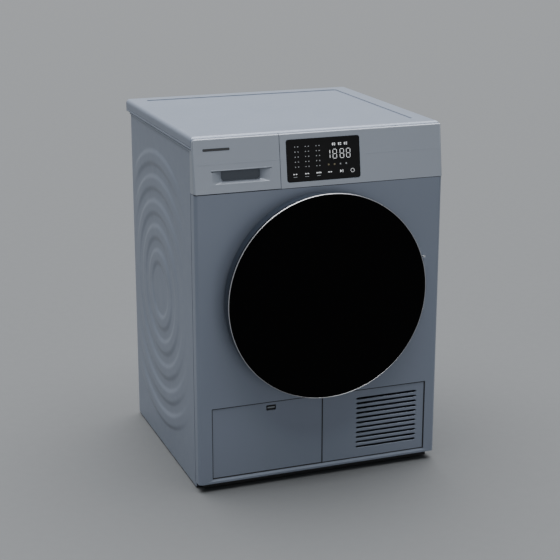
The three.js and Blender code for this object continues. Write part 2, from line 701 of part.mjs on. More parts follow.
function lifter(turn) {
  const foot = -LIFTER_BASE;
  const tip = foot + LIFTER_HEIGHT;
  const shoulder = foot + 18;
  const section = polygon([
    [-29, foot],
    [29, foot],
    [20, shoulder],
    [9, tip],
    [-9, tip],
    [-20, shoulder],
  ]);
  const geometry = extruded(section, 330, 1);
  geometry.rotateX(Math.PI / 2);
  geometry.rotateY(turn);
  geometry.translate(0, at(460), AXIS_Z);
  return solid(geometry);
}

function addDrum() {
  const wall = 2;
  const shell = [
    [DRUM_RADIUS - wall, DRUM_FRONT + wall],
    [248, DRUM_FRONT + wall],
    [248, DRUM_FRONT],
    [DRUM_RADIUS, DRUM_FRONT],
    [DRUM_RADIUS, DRUM_REAR],
    [0, DRUM_REAR],
    [0, DRUM_REAR - wall],
    [DRUM_RADIUS - wall, DRUM_REAR - wall],
  ];
  addPiece("drum_shell", turnedAlongY(shell, 0, AXIS_Z, BIG_ROUND), "steel");
  for (let i = 0; i < LIFTER_COUNT; i++) {
    addPiece(`drum_lifter_${i + 1}`, lifter((i * 2 * Math.PI) / LIFTER_COUNT), "greyPlastic");
  }
  const shaft = [
    [0, DRUM_REAR + GAP],
    [55, DRUM_REAR + GAP],
    [55, DRUM_REAR + 4],
    [10, DRUM_REAR + 6],
    [10, DRUM_REAR + 32],
    [0, DRUM_REAR + 32],
  ];
  addPiece("drum_shaft", turnedAlongY(shaft, 0, AXIS_Z, SMALL_ROUND * 2), "steel");
  const bearing = [
    [10.6, DRUM_REAR + 12],
    [26, DRUM_REAR + 12],
    [28, DRUM_REAR + 28],
    [72, DRUM_REAR + 34],
    [72, SHELL_DEPTH - REAR_SHEET - GAP],
    [10.6, SHELL_DEPTH - REAR_SHEET - GAP],
  ];
  addPiece("rear_bearing", turnedAlongY(bearing, 0, AXIS_Z, SMALL_ROUND * 2), "aluminium");
}

// Drive: motor, belt, jockey pulley and fan

const MOTOR = { x: 205, z: 108, radius: 52 };
const BELT = { front: 262, rear: 274, thick: 2.4, pulley: 14, gap: 1 };
const IDLER = { radius: 11, armLength: 62 };

// The loop around two pulleys whose centres are (0, AXIS_Z) and the motor's.
function beltLoop(bigRadius, smallRadius) {
  const dx = MOTOR.x;
  const dz = MOTOR.z - AXIS_Z;
  const heading = Math.atan2(dz, dx);
  const spread = Math.acos((bigRadius - smallRadius) / Math.hypot(dx, dz));
  const start = heading + spread;
  const end = heading - spread + 2 * Math.PI;
  const loop = new THREE.Shape();
  loop.absarc(0, AXIS_Z, bigRadius, start, end, false);
  loop.absarc(MOTOR.x, MOTOR.z, smallRadius, heading - spread, heading + spread, false);
  return loop;
}

// Where the idler wheel rests on the outside of the belt's lower run, and that run's direction.
function idlerPlace() {
  const big = DRUM_RADIUS + BELT.gap + BELT.thick;
  const small = BELT.pulley + BELT.gap + BELT.thick;
  const dx = MOTOR.x;
  const dz = MOTOR.z - AXIS_Z;
  const heading = Math.atan2(dz, dx);
  const spread = Math.acos((big - small) / Math.hypot(dx, dz));
  const normal = heading - spread;
  const run = Math.hypot(dx, dz) * Math.sin(spread);
  const back = run * 0.34;
  const off = small + IDLER.radius + 0.5;
  const along = normal - Math.PI / 2;
  return {
    x: MOTOR.x + Math.cos(normal) * off + Math.cos(along) * back,
    z: MOTOR.z + Math.sin(normal) * off + Math.sin(along) * back,
  };
}

function addDrive() {
  const outer = beltLoop(DRUM_RADIUS + BELT.gap + BELT.thick, BELT.pulley + BELT.gap + BELT.thick);
  outer.holes.push(beltLoop(DRUM_RADIUS + BELT.gap, BELT.pulley + BELT.gap));
  addPiece("drive_belt", prismBack(outer, BELT.front, BELT.rear, 24), "rubber");
  const { x, z, radius } = MOTOR;
  const body = turnedAlongY(tube(7, radius, 292, 402), x, z, 20);
  const cradle = block(x - 40, x + 40, 300, 394, BASE_TOP + GAP, z - radius + 12);
  const bore = turnedAlongY(rod(7, 280, 420), x, z, 20);
  addPiece("drive_motor", cut(join(body, cradle), bore), "zinc");
  const shaft = [
    [0, 250],
    [6, 250],
    [6, BELT.front - 4],
    [BELT.pulley + 3, BELT.front - 3],
    [BELT.pulley + 3, BELT.front - 1],
    [BELT.pulley, BELT.front - 0.5],
    [BELT.pulley, BELT.rear + 0.5],
    [BELT.pulley + 3, BELT.rear + 1],
    [BELT.pulley + 3, BELT.rear + 3],
    [6, BELT.rear + 4],
    [6, 466],
    [0, 466],
  ];
  addPiece("motor_shaft", turnedAlongY(shaft, x, z, SMALL_ROUND), "steel");
}

const FAN = { front: 424, rear: 470, radius: 66, housing: 76, blades: 8 };

function addFan() {
  const { x, z } = MOTOR;
  const hub = turnedAlongY(tube(6.3, 16, FAN.front + 6, FAN.rear - 6), x, z, SMALL_ROUND);
  const disc = turnedAlongY(tube(6.3, FAN.radius, FAN.rear - 9, FAN.rear - 6), x, z, 20);
  const blades = Array.from({ length: FAN.blades }, (_, i) => {
    const geometry = new THREE.BoxGeometry(3, 34, FAN.radius - 16);
    geometry.translate(0, 0, (FAN.radius + 12) / 2);
    geometry.rotateY((i * 2 * Math.PI) / FAN.blades);
    geometry.translate(x, at((FAN.front + FAN.rear) / 2 - 2), z);
    return solid(geometry);
  });
  addPiece("fan_impeller", join(hub, disc, ...blades), "greyPlastic");
  const scroll = turnedAlongY(tube(FAN.housing - 4, FAN.housing, FAN.front, FAN.rear + 10), x, z, 24);
  const backWall = turnedAlongY(tube(20, FAN.housing, FAN.rear + 6, FAN.rear + 10), x, z, 24);
  const foot = block(x - 50, x + 50, FAN.front, FAN.rear + 10, BASE_TOP + GAP, z - FAN.housing + 14);
  const throat = turnedAlongY(rod(FAN.housing - 4, FAN.front - 5, FAN.rear + 6), x, z, 24);
  addPiece("fan_housing", cut(join(scroll, backWall, foot), throat), "greyPlastic");
}

function addIdler() {
  const place = idlerPlace();
  const wheel = [
    [4.3, BELT.front - 1],
    [IDLER.radius, BELT.front - 1],
    [IDLER.radius, BELT.rear + 1],
    [4.3, BELT.rear + 1],
  ];
  addPiece("idler_pulley", turnedAlongY(wheel, place.x, place.z, SMALL_ROUND), "blackPlastic");
  const pivotX = place.x - IDLER.armLength;
  const arm = block(pivotX - 8, place.x + 7, 278, 282, place.z - 7, place.z + 7);
  const axle = turnedAlongY(rod(4, BELT.front - 3, 280), place.x, place.z, SMALL_ROUND);
  const pivotBore = turnedAlongY(rod(4.4, 270, 290), pivotX, place.z, SMALL_ROUND);
  addPiece("idler_arm", cut(join(arm, axle), pivotBore), "steel");
  const post = block(pivotX - 9, pivotX + 9, 286, 298, BASE_TOP + GAP, place.z + 9);
  const pin = turnedAlongY(rod(4, 276, 287), pivotX, place.z, SMALL_ROUND);
  addPiece("idler_post", join(post, pin), "zinc");
}

// Heat-pump unit in the base

const COMPRESSOR = { x: -190, depth: 400, radius: 60, top: 192 };
const EXCHANGER = { left: -258, right: -12, front: 90, rear: 292, bottom: 40, top: 160 };
const FIN_COUNT = 9;
const LEVER_X = { left: -215, right: -45 };
const LEVER_Z = 150;

function addHeatPump() {
  const { x, radius, top } = COMPRESSOR;
  const y = at(COMPRESSOR.depth);
  const dome = [
    [0, BASE_TOP + GAP],
    [radius + 12, BASE_TOP + GAP],
    [radius + 12, BASE_TOP + 5],
    [radius, BASE_TOP + 12],
    [radius, top - 22],
    [radius - 14, top - 6],
    [0, top],
  ];
  addPiece("compressor", turnedAlongZ(dome, x, y, 20), "blackPlastic");
  const { left, right, front, rear, bottom } = EXCHANGER;
  const pitch = (rear - front) / FIN_COUNT;
  const fins = Array.from({ length: FIN_COUNT - 1 }, (_, i) => {
    const start = front + (i + 0.8) * pitch;
    return block(left - 1, right + 1, start, start + 0.2 * pitch, bottom + 14, EXCHANGER.top + 1);
  });
  const core = block(left, right, front, rear, bottom, EXCHANGER.top);
  const support = block(left, right, front, rear, BASE_TOP + GAP, bottom + 1);
  addPiece("heat_exchanger", cut(join(core, support), ...fins), "aluminium");
  addPiece("condensate_pump", block(20, 90, 470, 520, BASE_TOP + GAP, 78), "whitePlastic");
  const cover = block(left, right, 42, 48, BASE_TOP + 6, 172);
  const holes = Object.values(LEVER_X).map((leverX) =>
    turnedAlongY(rod(4.4, 30, 60), leverX, LEVER_Z, SMALL_ROUND),
  );
  addPiece("exchanger_cover", cut(cover, ...holes), "greyPlastic");
  for (const [side, leverX] of Object.entries(LEVER_X)) {
    const grip = block(leverX - 8, leverX + 8, 32, 41.4, LEVER_Z - 34, LEVER_Z + 10);
    const pivot = turnedAlongY(rod(4, 40, 50), leverX, LEVER_Z, SMALL_ROUND);
    addPiece(`cover_lever_${side}`, join(grip, pivot), "whitePlastic");
  }
}

addFeet();
addBase();
addSidePanels();
addRear();
addFrontPanel();
addServiceFlap();
addVentGrille();
addTopPlate();
addFascia();
addTankDrawer();
addDoor();
addDoorHinge();
addBulkhead();
addLintFilter();
addDrum();
addDrive();
addFan();
addIdler();
addHeatPump();

export default dryer;
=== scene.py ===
"""A front-loading tumble dryer: painted cabinet, round black glass door, touch display and louvred vent."""
import math

import bmesh
import bpy
from mathutils import Euler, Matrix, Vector


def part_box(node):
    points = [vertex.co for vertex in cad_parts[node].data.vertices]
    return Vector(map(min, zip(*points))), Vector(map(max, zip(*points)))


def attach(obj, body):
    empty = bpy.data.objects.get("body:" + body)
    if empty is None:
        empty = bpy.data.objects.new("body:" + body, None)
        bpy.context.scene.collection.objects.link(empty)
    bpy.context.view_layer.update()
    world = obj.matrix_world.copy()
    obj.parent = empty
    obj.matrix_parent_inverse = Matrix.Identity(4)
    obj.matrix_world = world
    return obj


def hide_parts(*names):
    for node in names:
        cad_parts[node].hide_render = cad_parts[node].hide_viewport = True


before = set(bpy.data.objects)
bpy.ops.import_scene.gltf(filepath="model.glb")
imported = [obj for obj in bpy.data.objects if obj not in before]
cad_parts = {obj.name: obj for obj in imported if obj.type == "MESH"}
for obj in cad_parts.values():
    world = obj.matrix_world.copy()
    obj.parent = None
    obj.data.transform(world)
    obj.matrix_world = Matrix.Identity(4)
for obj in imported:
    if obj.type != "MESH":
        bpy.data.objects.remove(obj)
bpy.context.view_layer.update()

MM = 0.001

# Driving values, in millimetres. Depths are measured back from the front panel's face.
HALF_WIDTH = 300.0
AXIS_Z = 458.0
FASCIA_BOTTOM = 707.0
FASCIA_TOP = 827.0
FASCIA_LEAN = 15.5
FRONT_WRAP = 30.0
SHELL_DEPTH = 546.0
CABINET_DEPTH = 584.0
TOP_Z = 832.0
DOOR_RADIUS = 241.0
CORNER = 9.0
FRONT_Y = round(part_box("front_panel")[0][1] / MM, 3)

# The groove down each folded end of the front sheet, between two depths.
WRAP_LINE = (27.0, 29.4)

# The opening for the flap and the grille.
SERVICE_LEFT = -267.0
SERVICE_RIGHT = 271.5
SERVICE_LOW = 31.6
SERVICE_HIGH = 205.4

# The fascia leans back by SLOPE for each millimetre up, as far as the rounded edge at its top.
FASCIA_ROLL = 5
SLOPE = FASCIA_LEAN / (FASCIA_TOP - FASCIA_ROLL - FASCIA_BOTTOM)
LEAN = math.atan(SLOPE)

SIDES = (("left", -1), ("right", 1))

# Faces round a turned piece, and round the door's outer pieces.
ROUND = 144
DOOR_ROUND = 192

# Every finish: scale of the smears in its roughness, and depth of its grain in metres.
SMEAR_SCALE = 40.0
GRAIN_DEPTH = 0.0002

# Brushed metal: scale and strength of the strokes.
STROKE_SCALE = 260.0
STROKE_RELIEF = 0.03

# In degrees: on a piece with an edge radius, edges sharper than the first are rounded. On any other
# piece, edges sharper than the second stay sharp in the shading.
BEVEL_ANGLE = 30
CREASE_ANGLE = 38


def at(depth):
    """Y, in millimetres, of a plane that lies this far behind the front panel's face."""
    return FRONT_Y + depth


# ---- Materials ----

def node(tree, kind, place, **values):
    """Adds a node and sets each value on the input of that name, or else on the node."""
    made = tree.nodes.new(kind)
    made.location = place
    for key, value in values.items():
        if key in made.inputs:
            made.inputs[key].default_value = value
        else:
            setattr(made, key, value)
    return made


def noise(tree, scale, detail, place):
    """Noise in object coordinates."""
    coordinates = node(tree, "ShaderNodeTexCoord", (place[0] - 200, place[1]))
    made = node(tree, "ShaderNodeTexNoise", place, Scale=scale, Detail=detail)
    tree.links.new(coordinates.outputs["Object"], made.inputs["Vector"])
    return made


def surface(name, color, roughness, metallic=0.0, tint=0.03, tint_scale=6.0, rough_span=0.05,
            bump=0.02, bump_scale=900.0, **sockets):
    """A procedural finish: colour and roughness that wander a little, and a fine surface grain."""
    material = bpy.data.materials.new(name)
    material.use_nodes = True
    tree = material.node_tree
    shader = tree.nodes["Principled BSDF"]
    for key, value in sockets.items():
        shader.inputs[key.replace("_", " ")].default_value = value
    shader.inputs["Metallic"].default_value = metallic
    patches = noise(tree, tint_scale, 3.0, (-900, 300))
    ramp = node(tree, "ShaderNodeValToRGB", (-650, 300))
    ramp.color_ramp.elements[0].position = 0.3
    ramp.color_ramp.elements[1].position = 0.7
    ramp.color_ramp.elements[0].color = (*[c * (1 - tint) for c in color], 1)
    ramp.color_ramp.elements[1].color = (*[min(1, c * (1 + tint)) for c in color], 1)
    tree.links.new(patches.outputs["Fac"], ramp.inputs["Fac"])
    tree.links.new(ramp.outputs["Color"], shader.inputs["Base Color"])
    smears = noise(tree, SMEAR_SCALE, 2.0, (-900, 0))
    span = node(tree, "ShaderNodeMapRange", (-650, 0))
    span.inputs["To Min"].default_value = max(0.0, roughness - rough_span)
    span.inputs["To Max"].default_value = roughness + rough_span
    tree.links.new(smears.outputs["Fac"], span.inputs["Value"])
    tree.links.new(span.outputs["Result"], shader.inputs["Roughness"])
    grain = noise(tree, bump_scale, 2.0, (-900, -300))
    relief = node(tree, "ShaderNodeBump", (-400, -300), Strength=bump, Distance=GRAIN_DEPTH)
    tree.links.new(grain.outputs["Fac"], relief.inputs["Height"])
    tree.links.new(relief.outputs["Normal"], shader.inputs["Normal"])
    return material


def brushed(name, color, roughness, stretch):
    """Metal with fine parallel strokes: noise squeezed along one axis drives the relief."""
    material = surface(name, color, roughness, metallic=1.0, bump=0.0)
    tree = material.node_tree
    grain = tree.nodes.new("ShaderNodeTexNoise")
    grain.inputs["Scale"].default_value = STROKE_SCALE
    mapping = node(tree, "ShaderNodeMapping", (-1100, -600), Scale=stretch)
    coordinates = node(tree, "ShaderNodeTexCoord", (-1300, -600))
    tree.links.new(coordinates.outputs["Object"], mapping.inputs["Vector"])
    tree.links.new(mapping.outputs["Vector"], grain.inputs["Vector"])
    relief = [n for n in tree.nodes if n.bl_idname == "ShaderNodeBump"][0]
    relief.inputs["Strength"].default_value = STROKE_RELIEF
    tree.links.new(grain.outputs["Fac"], relief.inputs["Height"])
    return material


def glowing(name, color, strength):
    """A printed mark that is lit from behind."""
    material = surface(name, color, 0.4, bump=0.0)
    shader = material.node_tree.nodes["Principled BSDF"]
    shader.inputs["Emission Color"].default_value = (*color, 1)
    shader.inputs["Emission Strength"].default_value = strength
    return material


MATERIALS = {
    "body_paint": surface("body_paint", (0.180, 0.208, 0.264), 0.42, 0.3, tint=0.02, bump=0.05,
                          Coat_Weight=0.12, Coat_Roughness=0.25),
    "fascia_paint": surface("fascia_paint", (0.262, 0.290, 0.338), 0.40, 0.3, tint=0.02, bump=0.04,
                            Coat_Weight=0.1, Coat_Roughness=0.25),
    "rim_paint": surface("rim_paint", (0.030, 0.040, 0.058), 0.34, 0.5, bump=0.03),
    "black_glass": surface("black_glass", (0.0004, 0.0004, 0.0005), 0.05, tint=0.1, rough_span=0.02,
                           bump=0.0, Specular_IOR_Level=0.05),
    "display_black": surface("display_black", (0.0025, 0.0025, 0.003), 0.18, tint=0.1, bump=0.0,
                             Specular_IOR_Level=0.10),
    "smoked_glass": surface("smoked_glass", (0.05, 0.055, 0.06), 0.08, bump=0.0,
                            Transmission_Weight=0.85, IOR=1.5),
    "chrome_trim": surface("chrome_trim", (0.62, 0.62, 0.64), 0.30, 1.0, tint=0.02, bump=0.01),
    "dark_chrome": surface("dark_chrome", (0.060, 0.066, 0.078), 0.24, 1.0, tint=0.02, bump=0.01),
    "bright_steel": brushed("bright_steel", (0.74, 0.75, 0.76), 0.34, (1, 30, 1)),
    "zinc_steel": surface("zinc_steel", (0.40, 0.42, 0.44), 0.42, 0.9, tint=0.14, tint_scale=70.0,
                          rough_span=0.1),
    "black_plastic": surface("black_plastic", (0.012, 0.012, 0.014), 0.55, bump=0.25,
                             bump_scale=1400.0, Specular_IOR_Level=0.3),
    "black_steel": surface("black_steel", (0.012, 0.012, 0.013), 0.38, 0.2, bump=0.1),
    "grey_plastic": surface("grey_plastic", (0.12, 0.13, 0.14), 0.5, bump=0.2, bump_scale=1400.0),
    "filter_screen": surface("filter_screen", (0.10, 0.11, 0.12), 0.6, bump=0.5, bump_scale=1800.0),
    "white_plastic": surface("white_plastic", (0.62, 0.63, 0.63), 0.42, bump=0.12, bump_scale=1400.0),
    "lamp_lens": surface("lamp_lens", (0.8, 0.82, 0.78), 0.3, Transmission_Weight=0.3),
    "cast_aluminium": surface("cast_aluminium", (0.52, 0.54, 0.55), 0.45, 0.95, tint=0.08, bump=0.3),
    "rubber": surface("rubber", (0.012, 0.012, 0.013), 0.8, bump=0.3, bump_scale=700.0),
    "circuit_board": surface("circuit_board", (0.02, 0.09, 0.05), 0.5, tint=0.2, tint_scale=200.0),
    # The dark satin of the grip's pocket: painted shade in the recess.
    "grip_shade": surface("grip_shade", (0.085, 0.098, 0.120), 0.5, 0.2, bump=0.05),
    "ink_white": glowing("ink_white", (0.75, 0.76, 0.78), 0.55),
    "ink_dim": glowing("ink_dim", (0.26, 0.27, 0.28), 0.10),
    "ink_amber": glowing("ink_amber", (0.13, 0.11, 0.06), 0.06),
    "ink_badge": surface("ink_badge", (0.02, 0.022, 0.026), 0.4, bump=0.0),
    "latch_light": surface("latch_light", (0.20, 0.22, 0.24), 0.35, 0.4),
}


# ---- Mesh helpers (all take millimetres) ----

def raw(name, points, faces):
    """A mesh object from points and faces."""
    mesh = bpy.data.meshes.new(name)
    mesh.from_pydata([Vector(p) * MM for p in points], [], faces)
    made = bpy.data.objects.new(name, mesh)
    bpy.context.collection.objects.link(made)
    clean(made)
    return made


def clean(thing):
    """Merges doubled points and turns every face outwards."""
    build = bmesh.new()
    build.from_mesh(thing.data)
    bmesh.ops.remove_doubles(build, verts=build.verts, dist=1e-6)
    bmesh.ops.dissolve_degenerate(build, edges=build.edges, dist=1e-7)
    bmesh.ops.recalc_face_normals(build, faces=build.faces)
    build.to_mesh(thing.data)
    build.free()


def turned(name, outline, centre=(0.0, AXIS_Z), steps=ROUND):
    """A closed outline of (radius, depth) turned about an axis along Y at centre, an (x, z)."""
    x, z = centre
    points, faces = [], []
    count = len(outline)
    for step in range(steps):
        angle = 2 * math.pi * step / steps
        for radius, depth in outline:
            points.append((x + radius * math.cos(angle), at(depth), z + radius * math.sin(angle)))
    for step in range(steps):
        here, there = step * count, ((step + 1) % steps) * count
        for i in range(count):
            j = (i + 1) % count
            faces.append((here + i, here + j, there + j, there + i))
    return raw(name, points, faces)


def standing(name, outline, x, y):
    """A closed outline of (radius, z) turned about a vertical axis."""
    made = turned(name, [(radius, z - FRONT_Y) for radius, z in outline], (0, 0), 48)
    for vertex in made.data.vertices:
        across, up, back = vertex.co.x, vertex.co.y, vertex.co.z
        vertex.co = (across + x * MM, -back + y * MM, up)
    clean(made)
    return made


def prism(name, outline, axis, low, high):
    """An outline run along an axis: it holds (depth, z) for "x", (x, z) for "y" and (x, depth) for "z"."""
    place = {
        "x": lambda u, v, w: (w, at(u), v),
        "y": lambda u, v, w: (u, at(w), v),
        "z": lambda u, v, w: (u, at(v), w),
    }[axis]
    count = len(outline)
    points = [place(u, v, w) for w in (low, high) for u, v in outline]
    faces = [tuple(range(count)), tuple(range(count, 2 * count))]
    faces += [(i, (i + 1) % count, count + (i + 1) % count, count + i) for i in range(count)]
    return raw(name, points, faces)


def block(name, x0, x1, depth0, depth1, z0, z1):
    """A plain box."""
    return prism(name, [(x0, z0), (x1, z0), (x1, z1), (x0, z1)], "y", depth0, depth1)


def rounded(x0, y0, x1, y1, radii, steps):
    """A rectangle's outline with its four corner radii, anticlockwise from the lower left."""
    corners = [(x0, y0, 1, 1, 180), (x1, y0, -1, 1, 270), (x1, y1, -1, -1, 0), (x0, y1, 1, -1, 90)]
    outline = []
    for (x, y, sx, sy, start), radius in zip(corners, radii):
        if not radius:
            outline.append((x, y))
            continue
        centre_x, centre_y = x + sx * radius, y + sy * radius
        for step in range(steps + 1):
            angle = math.radians(start + 90 * step / steps)
            outline.append((centre_x + radius * math.cos(angle), centre_y + radius * math.sin(angle)))
    return outline


def loft(name, loops):
    """Skins a list of equal loops of (x, y, z), capped at both ends."""
    count = len(loops[0])
    points = [p for loop in loops for p in loop]
    faces = [tuple(range(count)), tuple(range(len(points) - count, len(points)))]
    for row in range(len(loops) - 1):
        for i in range(count):
            j = (i + 1) % count
            faces.append((row * count + i, row * count + j, (row + 1) * count + j, (row + 1) * count + i))
    return raw(name, points, faces)


def boolean(thing, operation, *tools):
    """Joins, cuts or intersects with each tool, and throws the tools away."""
    for tool in tools:
        step = thing.modifiers.new("boolean", "BOOLEAN")
        step.operation = operation
        step.solver = "EXACT"
        step.object = tool
        bake(thing)
        bpy.data.objects.remove(tool)
    return thing


def bake(thing):
    """Applies the modifiers that are on the object."""
    graph = bpy.context.evaluated_depsgraph_get()
    graph.update()
    mesh = bpy.data.meshes.new_from_object(thing.evaluated_get(graph))
    thing.modifiers.clear()
    thing.data = mesh


def soften(thing, width, segments, angle=BEVEL_ANGLE):
    """Rounds the edges and shades the piece smooth, with its flat faces kept flat."""
    if width:
        bevel = thing.modifiers.new("bevel", "BEVEL")
        bevel.width = width * MM
        bevel.segments = segments
        bevel.limit_method = "ANGLE"
        bevel.angle_limit = math.radians(angle)
        bevel.harden_normals = False
        bevel.miter_outer = "MITER_ARC"
    else:
        thing.data.set_sharp_from_angle(angle=math.radians(CREASE_ANGLE))
    for face in thing.data.polygons:
        face.use_smooth = True
    thing.modifiers.new("normals", "WEIGHTED_NORMAL").keep_sharp = True


def finish(thing, material, body="cabinet", nodes=(), width=0, segments=2):
    """Gives a piece its finish, edge radius and body, and hides the CAD nodes that it stands for."""
    thing.data.materials.clear()
    thing.data.materials.append(MATERIALS[material])
    soften(thing, width, segments)
    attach(thing, body)
    if nodes:
        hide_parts(*nodes)


# ---- Cabinet ----

def plan(inset, back, corner=CORNER):
    """The cabinet's outline from above as (x, depth), with rounded front corners, ending at back."""
    half, corner = HALF_WIDTH - inset, corner - inset
    return rounded(-half, inset, half, back, [corner, corner, 0, 0], 14)


def smooth(share):
    """0 to 1 with a soft start and a soft end."""
    share = max(0.0, min(1.0, share))
    return share * share * (3 - 2 * share)


def skin(across, up):
    """Faces of a sheet: a grid of this many steps for its outside, one for its inside, and the rim."""
    row, total = across + 1, (across + 1) * (up + 1)
    faces = []
    for j in range(up):
        for i in range(across):
            a = j * row + i
            b, c, d = a + 1, a + row + 1, a + row
            faces.append((a, b, c, d))
            faces.append((total + d, total + c, total + b, total + a))
    rim = list(range(row)) + [j * row + across for j in range(1, up + 1)]
    rim += [up * row + i for i in range(across - 1, -1, -1)] + [j * row for j in range(up - 1, 0, -1)]
    for a, b in zip(rim, rim[1:] + rim[:1]):
        faces.append((a, total + a, total + b, b))
    return faces


def side_panel(word, side):
    """The pressed side sheet: five soft rings about one centre, fading out towards its edges."""
    face, sheet, edge_roll = HALF_WIDTH - 3, 1.6, 2.2
    centre_depth, centre_z = 305.0, 408.0
    first, pitch, rings = 82.0, 60.0, 5
    half, shoulder, proud = 22.0, 13.0, 2.9
    front_margin, front_fade = 25, 170
    back_margin, back_fade = 8, 90
    end_margin, end_fade = 8, 50
    depth0, depth1 = FRONT_WRAP + 3.4, SHELL_DEPTH
    z0, z1 = 5.0, 798.6
    across, up = 150, 230

    def height(depth, z):
        radius = math.hypot(depth - centre_depth, z - centre_z)
        ring = min(range(rings), key=lambda k: abs(radius - first - k * pitch))
        offset = abs(radius - first - ring * pitch)
        steep = 0.2 + 0.8 * abs(z - centre_z) / max(radius, 1)
        fade = smooth((depth - depth0 - front_margin) / front_fade)
        fade *= smooth((depth1 - depth - back_margin) / back_fade)
        fade *= smooth((min(z - z0, z1 - z) - end_margin) / end_fade)
        return proud * fade * steep * smooth((half - offset) / shoulder)

    outside, inside = [], []
    for j in range(up + 1):
        for i in range(across + 1):
            depth = depth0 + (depth1 - depth0) * i / across
            z = z0 + (z1 - z0) * j / up
            rise = height(depth, z)
            edge = min(depth - depth0, depth1 - depth)
            roll = sheet * (1 - min(1.0, edge / edge_roll)) ** 2
            outside.append((side * (face + rise - roll), at(depth), z))
            inside.append((side * (face + rise - sheet), at(depth), z))
    made = raw(f"side_sheet_{word}", outside + inside, skin(across, up))
    finish(made, "body_paint", nodes=[f"side_panel_{word}"])


def front_panel():
    """The front sheet: a shell with the door's hole, the service opening and a groove at each side."""
    foot, top, sheet, hole_radius = 21, FASCIA_BOTTOM - 1.4, 2.2, 205
    shell = prism("front_sheet", plan(0, FRONT_WRAP), "z", foot, top)
    hollow = prism("hollow", plan(sheet, FRONT_WRAP + 1), "z", foot + sheet, top - sheet)
    hole = turned("hole", [(0, -5), (hole_radius, -5), (hole_radius, 40), (0, 40)])
    service = block("service", SERVICE_LEFT, SERVICE_RIGHT, -5, 12, SERVICE_LOW, SERVICE_HIGH)
    bevel = [(-1, 26.2), (0, 26.8), (2.3, 31.7), (2.3, 34), (-1, 34)]
    sill = prism("sill", bevel, "x", SERVICE_LEFT, SERVICE_RIGHT)
    hem = prism("hem", [(-1, 23.4), (0.7, 24.0), (-1, 24.6)], "x", -HALF_WIDTH - 1, HALF_WIDTH + 1)
    grooves = []
    for side in (-1, 1):
        x = side * HALF_WIDTH
        grooves.append(block("groove", x - 1.2, x + 1.2, *WRAP_LINE, foot - 1, top + 1))
    boolean(shell, "DIFFERENCE", hollow, hole, service, sill, hem, *grooves)
    finish(shell, "body_paint", nodes=["front_panel"], width=0.7, segments=3)


def span(side, near, far):
    """The x values of a strip between two distances in from one side of the cabinet."""
    return sorted((side * (HALF_WIDTH - near), side * (HALF_WIDTH - far)))


def seam_strips():
    """Black strips in the seams round the front, painted shadow in the gaps, and the folded rail under each
    edge of the worktop.
    """
    near, far = WRAP_LINE[0] - 0.1, WRAP_LINE[1] + 0.1
    for word, side in SIDES:
        # Black strip down the groove in each wrap: painted shadow in the groove.
        x0, x1 = span(side, 1.1, 1.4)
        finish(block(f"wrap_line_{word}", x0, x1, near, far, 21, 705), "black_plastic")
        # Black strip in the seam between the wrap and the side sheet: painted shadow in the seam.
        x0, x1 = span(side, 2.4, 3.8)
        seam = block(f"side_seam_{word}", x0, x1, FRONT_WRAP + 0.1, FRONT_WRAP + 3.3, 22, 799)
        finish(seam, "black_plastic")
        x0, x1 = span(side, 0.8, 3.5)
        rail = block(f"worktop_rail_{word}", x0, x1, FRONT_WRAP + 1, SHELL_DEPTH, 799.2, 802.4)
        finish(rail, "body_paint", width=0.5)
    # Black ring in the seam under the fascia: painted shadow in the seam.
    seal = prism("fascia_seam_shadow", plan(0.9, FRONT_WRAP), "z", FASCIA_BOTTOM - 1.3, FASCIA_BOTTOM - 0.1)
    inner = prism("inner", plan(6, FRONT_WRAP + 1), "z", FASCIA_BOTTOM - 3, FASCIA_BOTTOM + 1)
    boolean(seal, "DIFFERENCE", inner)
    finish(seal, "rubber")
    # Black frame in the gaps round the flap and the grille: painted shadow in the gaps.
    gap = 0.2
    ring = block("service_seam_shadow", SERVICE_LEFT + gap, SERVICE_RIGHT - gap, 1.2, 5.8,
                 SERVICE_LOW + gap, SERVICE_HIGH - gap)
    flap_way = block("flap_way", -265.2, 5.2, 0, 8, 33.2, 203.1)
    grille_way = block("grille_way", 6.8, 269.6, 0, 8, 32.9, 203.1)
    boolean(ring, "DIFFERENCE", flap_way, grille_way)
    finish(ring, "rubber")


def top_plate():
    """The worktop: a skirt, a rounded edge and a shallow inset field, as one stack of loops."""
    front, low = 20.6, 803.0
    corners = (5, 5, 10, 10)
    field_half, field_front, field_back = 256, 74, CABINET_DEPTH - 40
    edge, steps = 10.0, 9

    def loop(inset, z):
        half = HALF_WIDTH - inset
        radii = [max(0.5, radius - inset) for radius in corners]
        outline = rounded(-half, front + inset, half, CABINET_DEPTH - inset, radii, 10)
        return [(x, at(depth), z) for x, depth in outline]

    def field(inset, z):
        half = field_half - inset
        outline = rounded(-half, field_front + inset, half, field_back - inset, [6] * 4, 10)
        return [(x, at(depth), z) for x, depth in outline]

    skirt = [(5, 0), (1.2, 0), (0, 1.2), (0, 4.2), (0.9, 5.2), (0.9, 6.4), (0, 7.4)]
    loops = [loop(inset, low + rise) for inset, rise in skirt]
    for step in range(steps + 1):
        angle = math.radians(90 * step / steps)
        loops.append(loop(edge * (1 - math.cos(angle)), TOP_Z - edge + edge * math.sin(angle)))
    dip = [(-0.9, 0), (-0.3, 0.2), (0, 0.8), (0.2, 2.4), (0.8, 2.5)]
    loops += [field(inset, TOP_Z - drop) for inset, drop in dip]
    made = loft("worktop", loops)
    finish(made, "body_paint", nodes=["top_plate"])


# ---- Fascia, display and drawer ----

# The thin crease across the fascia, as (z, distance behind the face).
CREASE = [(770.5, 0.3), (770.8, -0.16), (771.2, -0.2), (774.2, 0.1)]

# The grip's upper lip, in the same way, and the height of its edge.
LIP_TOP = 756.0
LIP = [(756.1, 0.4), (756.3, -0.5), (756.9, -0.7), (757.5, -0.55), (759.6, 0.1)]


def face_depth(z):
    """How far the fascia's leaning face lies behind the front panel's face at this height."""
    return (z - FASCIA_BOTTOM) * SLOPE


